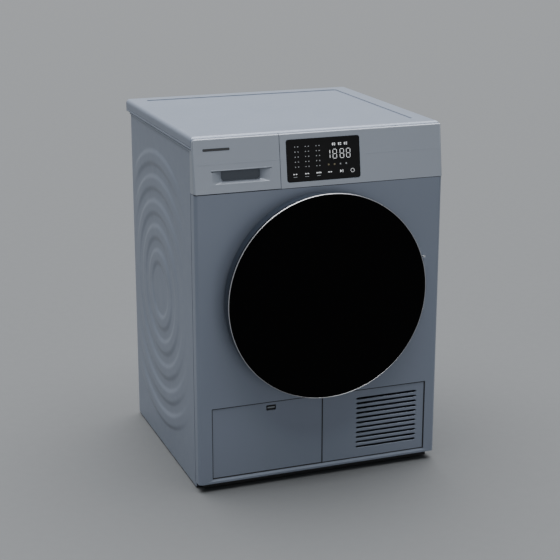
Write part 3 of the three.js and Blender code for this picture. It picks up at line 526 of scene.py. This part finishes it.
def fascia_volume(name):
    """The whole fascia as a solid, from which the moulding and the drawer front are both cut."""
    back, shelf_z, shelf_depth = FRONT_WRAP, 802.2, 20
    side = [(0, FASCIA_BOTTOM), (back, FASCIA_BOTTOM), (back, shelf_z), (shelf_depth, shelf_z)]
    side += [(shelf_depth, FASCIA_TOP), (18.2, FASCIA_TOP), (16.6, FASCIA_TOP - 1.1)]
    side += [(15.7, FASCIA_TOP - 2.8), (FASCIA_LEAN, FASCIA_TOP - FASCIA_ROLL)]
    volume = prism(name, side, "x", -HALF_WIDTH, HALF_WIDTH)
    outline = plan(0, back + 5, 5.0)
    ends = [[(x, at(y + face_depth(z)), z) for x, y in outline] for z in (FASCIA_BOTTOM, FASCIA_TOP)]
    corners = loft("corners", ends)
    outline = rounded(-HALF_WIDTH, FASCIA_BOTTOM, HALF_WIDTH, FASCIA_TOP, [0, 0, 4, 9], 12)
    return boolean(volume, "INTERSECT", corners, prism("face", outline, "y", 0, back))


def leaning(name, x0, x1, low, high, corner, start, end):
    """A rounded plate in the fascia's leaning plane, between two distances behind its face."""
    outline = rounded(x0, low, x1, high, [corner] * 4, 8)
    made = loft(name, [[(x, w, s) for x, s in outline] for w in (start, end)])
    tilt(made)
    return made


def tilt(made):
    """Moves a piece that is drawn upright at the origin onto the fascia's leaning face."""
    turn = Euler((-LEAN, 0, 0)).to_matrix()
    for vertex in made.data.vertices:
        vertex.co = turn @ vertex.co + Vector((0, FRONT_Y, FASCIA_BOTTOM)) * MM


def behind_face(name, x0, x1, near, far):
    """A slab between two distances behind the leaning face, from just under the fascia to above it."""
    low, high = FASCIA_BOTTOM - 0.2, FASCIA_TOP + 1.2
    top = face_depth(high)
    return prism(name, [(near, low), (far, low), (far + top, high), (near + top, high)], "x", x0, x1)


def fascia():
    """The fascia's moulding, with the way for the drawer and the display's window."""
    right, wall, hollow_top = -97.4, 3, 799.2
    made = fascia_volume("fascia_moulding")
    hollow_side = [(wall, FASCIA_BOTTOM + wall), (FRONT_WRAP + 1, FASCIA_BOTTOM + wall)]
    hollow_side += [(FRONT_WRAP + 1, hollow_top), (wall + FASCIA_LEAN * 0.8, hollow_top)]
    boolean(
        made, "DIFFERENCE",
        prism("hollow", hollow_side, "x", -282, 282),
        behind_face("drawer_face", -301, right, -9, 7.4),
        block("drawer_body", -297, right, 0, 22.2, 706, 828),
        block("tank_way", -297, right, 0, 31, 711, 798),
        leaning("window", -82.9, 94.5, 11.9, 107.7, 6, -3, 14),
    )
    finish(made, "fascia_paint", nodes=["control_fascia"], width=0.5, segments=3)
    # Black strip in the seam between the drawer and the moulding: painted shadow in the seam.
    finish(behind_face("drawer_seam_shadow", -98.25, -97.75, 1.4, 6.5), "black_plastic")
    ridge("fascia_crease_left", CREASE, right, -83, "cabinet")
    ridge("fascia_crease_right", CREASE, 94.6, 294.6, "cabinet")


def drawer():
    """The drawer's front, with its finger grip, the lip over it and the plain dark bar."""
    right = -98.6
    made = fascia_volume("drawer_moulding")
    keep = behind_face("keep", -301, right, -9, 6.6)
    boolean(keep, "UNION", block("keep_back", -296.2, right, -1, 21.6, 700, 828))
    outline = rounded(-HALF_WIDTH, FASCIA_BOTTOM + 0.8, right, FASCIA_TOP, [4, 0, 0, 9], 8)
    boolean(made, "INTERSECT", keep, prism("outline", outline, "y", -1, 25))
    boolean(made, "DIFFERENCE", grip_scoop(), lip_groove("groove", -258, -118, 1.8, 2.6))
    finish(made, "fascia_paint", "tank_drawer", ["tank_drawer_front"], width=0.6, segments=3)
    # Dark plate at the back of the grip's pocket: painted shade in the recess.
    outline = rounded(-231.6, 731.6, -144.4, 755, [5, 5, 0, 0], 6)
    finish(prism("grip_pocket_shade", outline, "y", 17.0, 17.9), "grip_shade", "tank_drawer")
    # Black strip under the grip's upper lip: painted shadow under the lip.
    strip = lip_groove("grip_lip_shadow", -257, -119, 1.6, 0.9, 0.5)
    finish(strip, "black_plastic", "tank_drawer")
    ridge("grip_lip", LIP, -258.5, -117.5, "tank_drawer")
    ridge("drawer_crease", CREASE, -294.6, right, "tank_drawer")
    finish(leaning("badge", -276, -214, 94, 99.8, 2.2, -0.25, 0.2), "ink_badge", "tank_drawer")


def ridge(name, section, x0, x1, body):
    """A low ridge along the leaning face; the section holds (z, distance behind the face)."""
    outline = [(face_depth(z) + back, z) for z, back in section]
    finish(prism(name, outline, "x", x0, x1), "fascia_paint", body)


def lip_groove(name, x0, x1, deep, tall, near=-1.0):
    """A wedge under the grip's upper lip, at full depth under the lip and running out downwards."""
    face = face_depth(LIP_TOP)
    foot = (face - tall * SLOPE + near * 0.3, LIP_TOP - tall)
    return prism(name, [(face + near, LIP_TOP), (face + deep, LIP_TOP), foot], "x", x0, x1)


def grip_scoop():
    """The finger grip: wide at the face, its ends and floor curving in to a pocket under the lip."""
    left, right, floor = -232, -144, 731
    deep, start, loops = 18, 3, []
    for step in range(13):
        part = (step - 1) / 11 if step else 0
        flare = (1 - part) ** 2.4
        x0, x1 = left - 24.5 * flare, right + 25 * flare
        outline = rounded(x0, floor - 4 * flare, x1, LIP_TOP, [6, 6, 0, 0], 8)
        lead = 0 if step else start
        loops.append([(x, at(face_depth(z) * (1 - part) + deep * part - lead), z) for x, z in outline])
    return loft("scoop", loops)


# The seven bars of a figure, each as its place across, its place up, and whether it lies flat.
SEGMENTS = [(0, 1, True), (1, 0.5, False), (1, -0.5, False), (0, -1, True), (-1, -0.5, False),
            (-1, 0.5, False), (0, 0, True)]

# The display's marks lie between these two distances behind its face: they stand proud by the first.
MARK = (-0.12, 0.05)


def marks(name, rectangles, material):
    """Thin raised marks on the display, each (x, s, width, height, corner) in the leaning plane."""
    points, faces = [], []
    for x, s, width, height, corner in rectangles:
        across, up = width / 2, height / 2
        outline = rounded(x - across, s - up, x + across, s + up, [corner] * 4, 3)
        count, base = len(outline), len(points)
        top = base + count
        points += [(u, w, v) for w in MARK for u, v in outline]
        faces.append(tuple(range(base, top)))
        faces.append(tuple(range(top, top + count)))
        for i in range(count):
            j = (i + 1) % count
            faces.append((base + i, base + j, top + j, top + i))
    made = raw(name, points, faces)
    tilt(made)
    finish(made, material)


def pair(x, s, spread, width, height, corner):
    """Two equal marks, one on each side of x."""
    return [(x + side * spread, s, width, height, corner) for side in (-1, 1)]


def lit_marks():
    """The bright marks: blocks with bars beside them, three figures, two strokes and a row below."""
    made = []
    for x in (31.2, 45.9, 60.3):
        made.append((x - 2.4, 91, 2.4, 5.6, 0.9))
        made += [(x + 2.2, s, 3.6, 1.7, 0.6) for s in (92.9, 89.1)]
    half_width, half_height, middle, stroke = 4.5, 10.2, 69.3, 1.05
    for x in (33.4, 50.7, 66.2):
        for across, up, flat in SEGMENTS:
            width, height = (6.8, stroke) if flat else (stroke, 8.0)
            made.append((x + half_width * across, middle + half_height * up, width, height, 0.4))
    made += [(21.7, s, 1.1, 7.6, 0.4) for s in (74.4, 64.2)]
    for x in (-63.3, -35.2, 20.5):
        made += pair(x, 29.4, 2.8, 3.0, 2.2, 0.6)
    made += [(-6.6 + side * 4.4, 29.6, 2.8, 2.6, 0.6) for side in (-1, 0, 1)]
    made.append((51.6, 29.4, 1.1, 6.2, 0.3))
    return made


def programme_marks():
    """Three columns of five rows, with two dots in each."""
    top_row, row_pitch, rows = 90.2, 11.2, 5
    made = []
    for column in (-58.3, -33.3, -7.4):
        for row in range(rows):
            s = top_row - row_pitch * row
            made += [(column - 3.6, s, 2.3, 2.3, 0.6), (column + 3.7, s, 2.6, 2.2, 0.6)]
    return made


def display():
    """The display's pane and its marks."""
    glass = leaning("display_pane", -82.4, 94, 12.4, 107.2, 6, 0, 3)
    finish(glass, "display_black", nodes=["display_glass"], width=0.5)
    marks("programme_marks", programme_marks(), "ink_dim")
    marks("lit_marks", lit_marks(), "ink_white")
    marks("caption_marks", [(x, 23.0, 9.0, 1.2, 0.4) for x in (-63.3, -35.2, -6.6)], "ink_dim")
    marks("amber_marks", [(x, 46.1, 4.4, 4.4, 2.1) for x in (17.7, 31.9)], "ink_amber")
    marks("grey_marks", [(x, 46.1, 4.0, 4.0, 1.9) for x in (46.3, 60.4)], "ink_dim")
    near, far = (distance - FRONT_Y for distance in MARK)
    arrow = prism("play_mark", [(45.0, 26.4), (49.6, 29.4), (45.0, 32.4)], "y", near, far)
    tilt(arrow)
    finish(arrow, "ink_white")
    section = [(3.9, near), (4.6, near), (4.6, far), (3.9, far)]
    ring = turned("power_mark", section, (75.2, 29.4), 24)
    tilt(ring)
    finish(ring, "ink_white")


# ---- Service flap and vent grille ----

def service_flap():
    """The flap with its three hinge lugs and the slot that the latch shows through."""
    made = block("flap_plate", -264.9, 4.9, 2.5, 6, 34, 202.8)
    lugs = [block("lug", x - 12, x + 12, 5, 10.4, 35.5, 43.5) for x in (-230, -130, -30)]
    boolean(made, "UNION", *lugs)
    # The rod's hole is turned about Y, then stretched and laid along X. Its place is in metres.
    rod_y, rod_z, rod_hole, stretch, start = at(7.4) * MM, 39.5 * MM, 2, 12, -0.2
    way = turned("rod_way", [(0, -6), (rod_hole, -6), (rod_hole, 30), (0, 30)], (0, 0), 24)
    for vertex in way.data.vertices:
        x, y, z = vertex.co
        vertex.co = ((y - at(0) * MM) * stretch + start, rod_y + x, rod_z + z)
    slot = prism("slot", rounded(-134, 183.5, -110, 196.5, [2] * 4, 6), "y", -5, 12)
    boolean(made, "DIFFERENCE", way, slot)
    finish(made, "body_paint", "service_flap", ["service_flap"], width=0.8, segments=3)
    bar = prism("latch_bar", rounded(-131, 188.4, -113, 192.2, [1.2] * 4, 5), "y", 2.9, 3.3)
    finish(bar, "latch_light", "flap_latch", width=0.15)


def vent_grille():
    """The grille: eleven slots, each with a dark blade that slopes down behind it."""
    made = block("grille_plate", 7.1, 269.3, 2.5, 6, 33.2, 202.8)
    middles = [58.6 + i * 12.32 for i in range(11)]
    slot = [(92.5, 0), (94.5, 2.1), (98, 2.8), (246, 2.8), (250.5, 0.6), (249.5, -1.4), (246, -2.4),
            (96.5, -2.4)]
    for z in middles:
        outline = [(x, z + rise) for x, rise in slot]
        boolean(made, "DIFFERENCE", prism("louvre_way", outline, "y", -1, 9))
    finish(made, "body_paint", nodes=["vent_grille"], width=0.8, segments=3)
    blade = [(6.2, 3.6), (7.2, 4.0), (13.6, -3.4), (12.8, -4.2)]
    for i, z in enumerate(middles):
        section = [(depth, z + rise) for depth, rise in blade]
        finish(prism(f"louvre_blade_{i + 1}", section, "x", 90, 251), "black_plastic", width=0.3)


# ---- Door ----

def arc(angles, radius, depth, wide, deep):
    """Points of a rounded edge in the (radius, depth) plane, from the rim towards the front."""
    return [(radius + wide * math.cos(a), depth - deep * math.sin(a)) for a in angles]


def door_glass(rim):
    """The black pane, with a rounded edge and a slightly domed face."""
    edge, back = rim - 1.8, -44.6
    pane = [(0.01, back), (edge, back), (edge, -48.6)]
    pane += arc((0.4, 0.8, 1.2, 1.57), edge - 1.0, -48.6, 1, 1)
    pane += [(200, -49.7), (120, -49.75), (0.01, -49.8)]
    finish(turned("door_pane", pane, steps=DOOR_ROUND), "black_glass", "door", ["door_glass"])


def door_trim(rim):
    """The trim ring round the glass, its bright edge, and the painted band behind it."""
    bright = [(rim - 1.6, -48.0), (rim - 0.1, -48.0)]
    bright += arc((0, 0.5, 1.0, 1.5), rim - 1.0, -48.6, 1, 1.3)
    bright += [(rim - 1.3, -49.9), (rim - 1.6, -49.5)]
    finish(turned("trim_edge", bright, steps=DOOR_ROUND), "chrome_trim", "door")
    dark = [(7, -38.3), (1.8, -38.3), (1.0, -39.0), (0.5, -41), (0.3, -47.4), (0.6, -47.9), (2.1, -47.9),
            (2.1, -44.3), (7, -44.3)]
    ring = turned("trim_ring", [(rim - inset, depth) for inset, depth in dark], steps=DOOR_ROUND)
    finish(ring, "dark_chrome", "door", ["door_ring"])
    painted = [(7, -10), (3.6, -10), (3.0, -10.8), (2.2, -24), (1.8, -36.4), (2.6, -37.6), (7, -38)]
    band = turned("door_side_band", [(rim - inset, depth) for inset, depth in painted], steps=DOOR_ROUND)
    finish(band, "rim_paint", "door", ["door_rim"])


def door():
    """The door: glass, trim, the black moulding that carries them, the bowl and the seal round it."""
    rim = DOOR_RADIUS
    door_glass(rim)
    door_trim(rim)
    inner = [(160, -2), (206, -2), (208, -3.2), (228, -3.2), (230, -2), (rim - 9, -2), (rim - 8, -3)]
    inner += [(rim - 8, -9.7), (rim - 7.3, -43.9), (160, -43.9)]
    frame_ring = turned("door_moulding", inner)
    pocket = block("leaf_pocket", 198, 250, -7.6, 0, AXIS_Z - 23, AXIS_Z + 23)
    boolean(frame_ring, "DIFFERENCE", pocket)
    finish(frame_ring, "black_plastic", "door", ["door_inner_frame"], width=0.5)
    # The bowl, first along the side that faces the drum, then back along the side that faces the glass.
    bowl = [(177, -1.7), (177, 1.2), (157, 1.2), (151, 4)]
    bowl += [(151 - 22 * math.sin(a) ** 2, 4 + 37 * math.sin(a)) for a in (0.3, 0.6, 0.9, 1.2, 1.45)]
    bowl += [(112, 43.4), (60, 45.6), (0.01, 46), (0.01, 42), (60, 41.6), (110, 39.6), (125, 36)]
    bowl += [(147 - 21 * math.sin(a) ** 2, 1 + 35 * math.sin(a)) for a in (1.2, 0.8, 0.4)]
    bowl += [(150, -1.7)]
    finish(turned("door_dish", bowl), "smoked_glass", "door", ["door_bowl"])
    seal = [(179, -1.7), (186, -1.7), (186, 1), (184, 3), (185.6, 6), (184.8, 9.5), (182, 11.6)]
    seal += [(179.6, 9), (180.4, 5), (179, 2)]
    finish(turned("door_gasket", seal), "rubber", "door", ["door_seal"])


# ---- Drum and what lies behind the front ----

def bulkhead():
    """The grey moulding round the drum's mouth, with ways for the filter, the hook and the plunger."""
    inner = 178.0
    outline = [(inner, 12), (181, 12), (236, 12), (236, 16), (inner + 5, 16), (inner + 5, 72), (266, 72)]
    outline += [(266, 76), (inner + 1.5, 76), (inner, 74.5)]
    made = turned("mouth_moulding", outline)
    plunger = [(0.01, 5), (4.6, 5), (4.6, 20), (0.01, 20)]
    boolean(
        made, "DIFFERENCE",
        block("filter_way", -98.2, 98.2, 50.8, 68.2, 118, 358),
        block("hook_way", -211, -186, 5, 20, AXIS_Z - 12, AXIS_Z + 12),
        turned("plunger_way", plunger, (-190, AXIS_Z + 62), 32),
    )
    finish(made, "grey_plastic", nodes=["front_bulkhead"], width=0.7)


def drum():
    """The drum: one turned wall with pressed beads, open to the front, and dark discs of painted shade for
    its air holes.
    """
    outer, sheet, beads, bead_pitch, bead_depth = 276.0, 1.2, 14, 27, 1.2
    outline = [(outer - 1.4, 92), (252, 92), (249, 91.6), (248, 90.8), (249, 90), (272, 90)]
    outline.append((outer, 93))
    lip, low = len(outline), outer - bead_depth
    for step in range(beads):
        depth = 110 + step * bead_pitch
        outline += [(outer, depth), (low, depth + 3), (low, depth + 7), (outer, depth + 10)]
    # The inside of the wall follows the beads at the sheet's thickness.
    inside = [(radius - sheet, depth) for radius, depth in reversed(outline[lip:])]
    outline += [(outer, 500), (outer - 2, 502), (0.01, 502), (0.01, 500.6), (180, 500.6), (190, 496)]
    outline += [(230, 496), (240, 500.6), (outer - 2.2, 500.6)]
    outline += inside
    finish(turned("drum_wall", outline, steps=120), "bright_steel", "drum", ["drum_shell"])
    air_holes()


def air_holes():
    """Rings of small dark discs on the inside of the drum's back: painted shade that stands for the air
    holes. They aren't cut through.
    """
    sides, hole, spacing, ring_pitch = 8, 2.4, 15, 14
    points, faces = [], []
    for radius in range(40, 171, ring_pitch):
        count = int(2 * math.pi * radius / spacing)
        shift = 0.5 * (radius % 4 == 0)
        for i in range(count):
            turn = 2 * math.pi * (i + shift) / count
            x, z = radius * math.cos(turn), AXIS_Z + radius * math.sin(turn)
            base = len(points)
            for depth in (500.35, 500.55):
                for a in range(sides):
                    angle = 2 * math.pi * a / sides
                    points.append((x + hole * math.cos(angle), at(depth), z + hole * math.sin(angle)))
            faces.append(tuple(range(base, base + sides)))
            faces.append(tuple(range(base + sides, base + 2 * sides)))
            for a in range(sides):
                b = (a + 1) % sides
                faces.append((base + a, base + b, base + sides + b, base + sides + a))
    finish(raw("drum_air_hole_shade", points, faces), "black_steel", "drum")


def compartment():
    """The moulded surround of the room behind the flap, and the ribs on the exchanger's cover."""
    surround = block("compartment_surround", -281, 6.4, 45.6, 47.2, 33, 190)
    boolean(surround, "DIFFERENCE", block("cover_way", -259, -11, 40, 50, 30, 173))
    walls = [
        surround,
        block("compartment_left", -268.6, -267.3, 12.5, 45.5, 33, 190),
        block("compartment_right", 5.4, 6.6, 6.2, 45.5, 33, 190),
        block("compartment_roof", -267.2, 5.3, 14, 45.5, 189, 190.2),
    ]
    for wall in walls:
        finish(wall, "grey_plastic", width=0.4)
    left, right, tall, ribs, pitch = -238, -32, 5, 5, 11
    for i in range(ribs):
        foot = 48 + i * pitch
        loops = []
        for inset, depth in ((0, 42), (0.2, 41.2), (1.0, 40.8)):
            low, high = foot + inset, foot + tall - inset
            outline = rounded(left + inset, low, right - inset, high, [2.2] * 4, 5)
            loops.append([(x, at(depth), z) for x, z in outline])
        finish(loft(f"cover_rib_{i + 1}", loops), "grey_plastic")


def filter_screens():
    """The fine screens in both windows of the lint filter, and the bars that hold them."""
    half, low, high = 86.8, 130.2, 217.8
    sides = (("front", (56.3, 56.95), (53.6, 56.3)), ("rear", (62.05, 62.6), (62.6, 64.8)))
    for word, screen, bar in sides:
        mesh = block(f"filter_screen_{word}", -half, half, *screen, low, high)
        finish(mesh, "filter_screen", "lint_filter")
        bars = [block(f"screen_bar_{word}_{i + 1}", x - 1.5, x + 1.5, *bar, low, high)
                for i, x in enumerate((-43.5, 0, 43.5))]
        bars.append(block(f"screen_bar_{word}_4", -half, half, bar[0] + 0.3, bar[1], 172.5, 175.5))
        for piece in bars:
            finish(piece, "white_plastic", "lint_filter", width=0.4)


# ---- Rear and screws ----

def screw(name, x, depth, z, outward=1, body="cabinet", radius=4.0):
    """A pan head with a cross slot; outward is 1 for a head that faces back and -1 for front."""
    profile = [(0.01, 0), (radius, 0), (radius, 0.9), (radius * 0.82, 1.7), (radius * 0.45, 2.1)]
    profile.append((0.01, 2.2))
    made = turned(name, [(r, depth + outward * d) for r, d in profile], (x, z), 24)
    arm, half, deep = radius * 0.55, 0.5, depth + outward * 1.1
    low, high = sorted((deep, depth + outward * 4))
    flat = block("slot", x - arm, x + arm, low, high, z - half, z + half)
    upright = block("slot", x - half, x + half, low, high, z - arm, z + arm)
    boolean(made, "DIFFERENCE", flat, upright)
    finish(made, "zinc_steel", body)


def screw_circle(word, count, turn, circle, depth, **kind):
    """Screws evenly round the drum's axis; turn is the first one's place, as a share of the step."""
    for i in range(count):
        angle = math.pi * (i + turn) / (count / 2)
        x, z = circle * math.cos(angle), AXIS_Z + circle * math.sin(angle)
        screw(f"{word}_{i + 1}", x, depth, z, **kind)


def rear_panel():
    """The rear sheet with its six vents and four pressed ribs."""
    back = SHELL_DEPTH
    face = back - 0.3
    panel = block("rear_sheet", -293.2, 293.2, back - 1.5, face, 8, 800)
    slots = []
    for i in range(6):
        low = 90 + i * 14
        outline = rounded(-80, low, 40, low + 5, [2.4] * 4, 6)
        slots.append(prism("slot", outline, "y", back - 10, back + 2))
    boolean(panel, "DIFFERENCE", *slots)
    finish(panel, "zinc_steel", nodes=["rear_panel"], width=0.3)
    for i, (z, half) in enumerate(((705, 190), (722, 190), (190, 150), (206, 150))):
        loops = []
        for inset, proud in ((0, 0), (0.6, 0.5), (1.6, 0.9)):
            outline = rounded(-half + inset, z - 4 + inset, half - inset, z + 4 - inset, [3] * 4, 6)
            loops.append([(x, at(face + proud), up) for x, up in outline])
        finish(loft(f"rear_rib_{i + 1}", loops), "zinc_steel")


def rear():
    """The back: its sheet, the duct's cover, the gland and the spigot. Then every screw of the machine."""
    rear_panel()
    back = SHELL_DEPTH
    foot = back + 0.3
    cover = [(205, 0.3), (205, 1.5), (197, 1.5), (192, 4), (178, 18), (168, 22), (150, 23), (146, 21.4),
             (120, 21.4), (116, 23.4), (60, 24.6), (0.01, 25), (0.01, 23.5), (116, 21.9), (120, 19.9),
             (148, 19.9), (166, 20.6), (190, 3), (196, 0.3)]
    made = turned("duct_cover", [(radius, back + out) for radius, out in cover])
    finish(made, "zinc_steel", nodes=["rear_duct_cover"])
    screw_circle("duct_screw", 8, 0.5, 201, back + 1.5, radius=3.2)
    for i, (x, z) in enumerate([(side * 282, z) for side in (-1, 1) for z in (40, 240, 440, 640, 785)]):
        screw(f"rear_screw_{i + 1}", x, back - 0.3, z)
    gland = [(0.01, foot), (14, foot), (14, back + 2.6), (12.6, back + 3.2), (9, back + 5), (8.6, back + 8)]
    gland += [(7.6, back + 8.4), (7.6, back + 10), (7, back + 10.4), (6.8, back + 14), (3.4, back + 14)]
    gland += [(3.4, back + 9), (0.01, back + 9)]
    made = turned("cable_gland", gland, (-230, 70), 48)
    finish(made, "black_plastic", nodes=["cord_gland"], width=0.2)
    spigot = [(5, foot), (15, foot), (15, back + 3), (8, back + 3.6), (8, back + 12), (9.4, back + 14)]
    spigot += [(8, back + 17), (8, back + 20), (9.4, back + 22), (8, back + 26), (5, back + 26)]
    made = turned("drain_nozzle", spigot, (235, 120), 48)
    finish(made, "grey_plastic", nodes=["drain_spigot"], width=0.2)
    screw_circle("door_screw", 8, 0.5, 218, -3.2, body="door", radius=3.0)
    screw_circle("mouth_screw", 6, 0.2, 192.5, 12, outward=-1, radius=3.0)
    for i, z in enumerate((404, 512)):
        screw(f"hinge_screw_{i + 1}", 259.0, -2.3, z, outward=-1, radius=2.4)


def feet():
    """The levelling feet: a pad, and a threaded stem above it."""
    pad = [(0.01, 0), (18.5, 0), (20, 1.2), (20, 3.4), (18.6, 4.6), (12, 6.2), (9, 6.5), (9, 7.6)]
    pad.append((5.6, 7.6))
    threads, pitch = 10, 1.5
    for step in range(threads):
        pad += [(5.6, 8.2 + step * pitch), (6.0, 8.8 + step * pitch)]
    pad += [(5.4, 24), (0.01, 24)]
    for name in ("front_left", "front_right", "rear_left", "rear_right"):
        low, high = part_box(f"foot_{name}")
        x, y = (low[0] + high[0]) / 2 / MM, (low[1] + high[1]) / 2 / MM
        foot = standing(f"levelling_{name}", pad, x, y)
        finish(foot, "black_plastic", f"foot_{name}", [f"foot_{name}"])


# ---- CAD pieces that keep their shape ----

# Each finish, and the CAD nodes that get it.
CARRIED = {
    "black_plastic": ["base_tray", "plinth", "idler_pulley"],
    "bright_steel": ["drum_shaft", "flap_hinge_rod", "hinge_pin", "motor_shaft", "idler_arm"],
    "body_paint": ["hinge_bracket", "door_hinge_leaf"],
    "zinc_steel": ["door_hook", "drive_motor", "idler_post"],
    "black_steel": ["compressor", "flap_latch"],
    "grey_plastic": ["tank_guide", "filter_duct", "drum_lifter_1", "drum_lifter_2", "drum_lifter_3",
                     "fan_impeller", "fan_housing", "exchanger_cover"],
    "white_plastic": ["water_tank", "door_lock", "door_switch_plunger", "lint_filter", "condensate_pump",
                      "cover_lever_left", "cover_lever_right"],
    "lamp_lens": ["drum_lamp"],
    "cast_aluminium": ["rear_bearing", "heat_exchanger"],
    "rubber": ["drive_belt"],
    "circuit_board": ["control_board"],
}

# Their edge radius where it isn't the usual one.
USUAL_EDGE = 0.6
EDGE = {
    "drive_belt": 0.2,
    "heat_exchanger": 0.3,
    "control_board": 0.1,
    "water_tank": 2.0,
    "compressor": 1.2,
    "drum_lifter_1": 4.0,
    "drum_lifter_2": 4.0,
    "drum_lifter_3": 4.0,
    "flap_hinge_rod": 0.1,
    "hinge_pin": 0.3,
}


def carry_over():
    """Dresses the CAD nodes that are kept: flat faces merged, edges rounded, one finish each."""
    for material, names in CARRIED.items():
        for name in names:
            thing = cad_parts[name]
            thing.data.materials.clear()
            thing.data.materials.append(MATERIALS[material])
            weld = thing.modifiers.new("weld", "WELD")
            weld.merge_threshold = 1e-5
            flat = thing.modifiers.new("flat", "DECIMATE")
            flat.decimate_type = "DISSOLVE"
            flat.angle_limit = math.radians(1)
            soften(thing, EDGE.get(name, USUAL_EDGE), 2, 35)


# ---- Stage, light and camera ----

def stage():
    """A wide grey floor and an even, slightly blue surround."""
    reach = 60000
    corners = [(-reach, -reach, 0), (reach, -reach, 0), (reach, reach, 0), (-reach, reach, 0)]
    floor = raw("floor", corners, [(0, 1, 2, 3)])
    floor.data.materials.append(surface("floor_paint", (0.088, 0.0925, 0.097), 0.8, tint=0.0, bump=0.0))
    world = bpy.data.worlds.new("studio")
    world.use_nodes = True
    background = world.node_tree.nodes["Background"]
    background.inputs["Color"].default_value = (0.62, 0.65, 0.68, 1)
    background.inputs["Strength"].default_value = 0.50
    bpy.context.scene.world = world


def softbox(name, place, aim, size, power):
    """A rectangular lamp at place, in metres, that faces aim."""
    data = bpy.data.lights.new(name, "AREA")
    data.shape = "RECTANGLE"
    data.size, data.size_y = size
    data.energy = power
    made = bpy.data.objects.new(name, data)
    made.location = place
    made.rotation_euler = (Vector(aim) - Vector(place)).to_track_quat("-Z", "Y").to_euler()
    bpy.context.collection.objects.link(made)


def lights():
    """A broad light from above and a little behind the machine, and a weak fill in front of it."""
    strength, spread, direction = 8.6, 75, Vector((-0.02, -0.14, -1))
    data = bpy.data.lights.new("overhead", "SUN")
    data.energy = strength
    data.angle = math.radians(spread)
    made = bpy.data.objects.new("overhead", data)
    made.rotation_euler = direction.to_track_quat("-Z", "Y").to_euler()
    bpy.context.collection.objects.link(made)
    softbox("front_fill", (0.5, -4.4, 0.45), (0, 0, 0.2), (3.2, 1.8), 19)


def camera():
    """One perspective camera: left of the machine, above the top plate, with a long lens."""
    azimuth, elevation, lens, sensor = -20.41, 16.36, 91.3, 36
    place = (-1.1758, FRONT_Y * MM - 2.8881, 1.4011)
    data = bpy.data.cameras.new("view")
    data.lens = lens
    data.sensor_width = sensor
    made = bpy.data.objects.new("view", data)
    made.location = place
    made.rotation_euler = (math.radians(90 - elevation), 0, math.radians(azimuth))
    bpy.context.collection.objects.link(made)
    bpy.context.scene.camera = made


camera()
for word, side in SIDES:
    side_panel(word, side)
front_panel()
seam_strips()
top_plate()
fascia()
drawer()
display()
service_flap()
vent_grille()
door()
bulkhead()
drum()
compartment()
filter_screens()
rear()
feet()
carry_over()
stage()
lights()
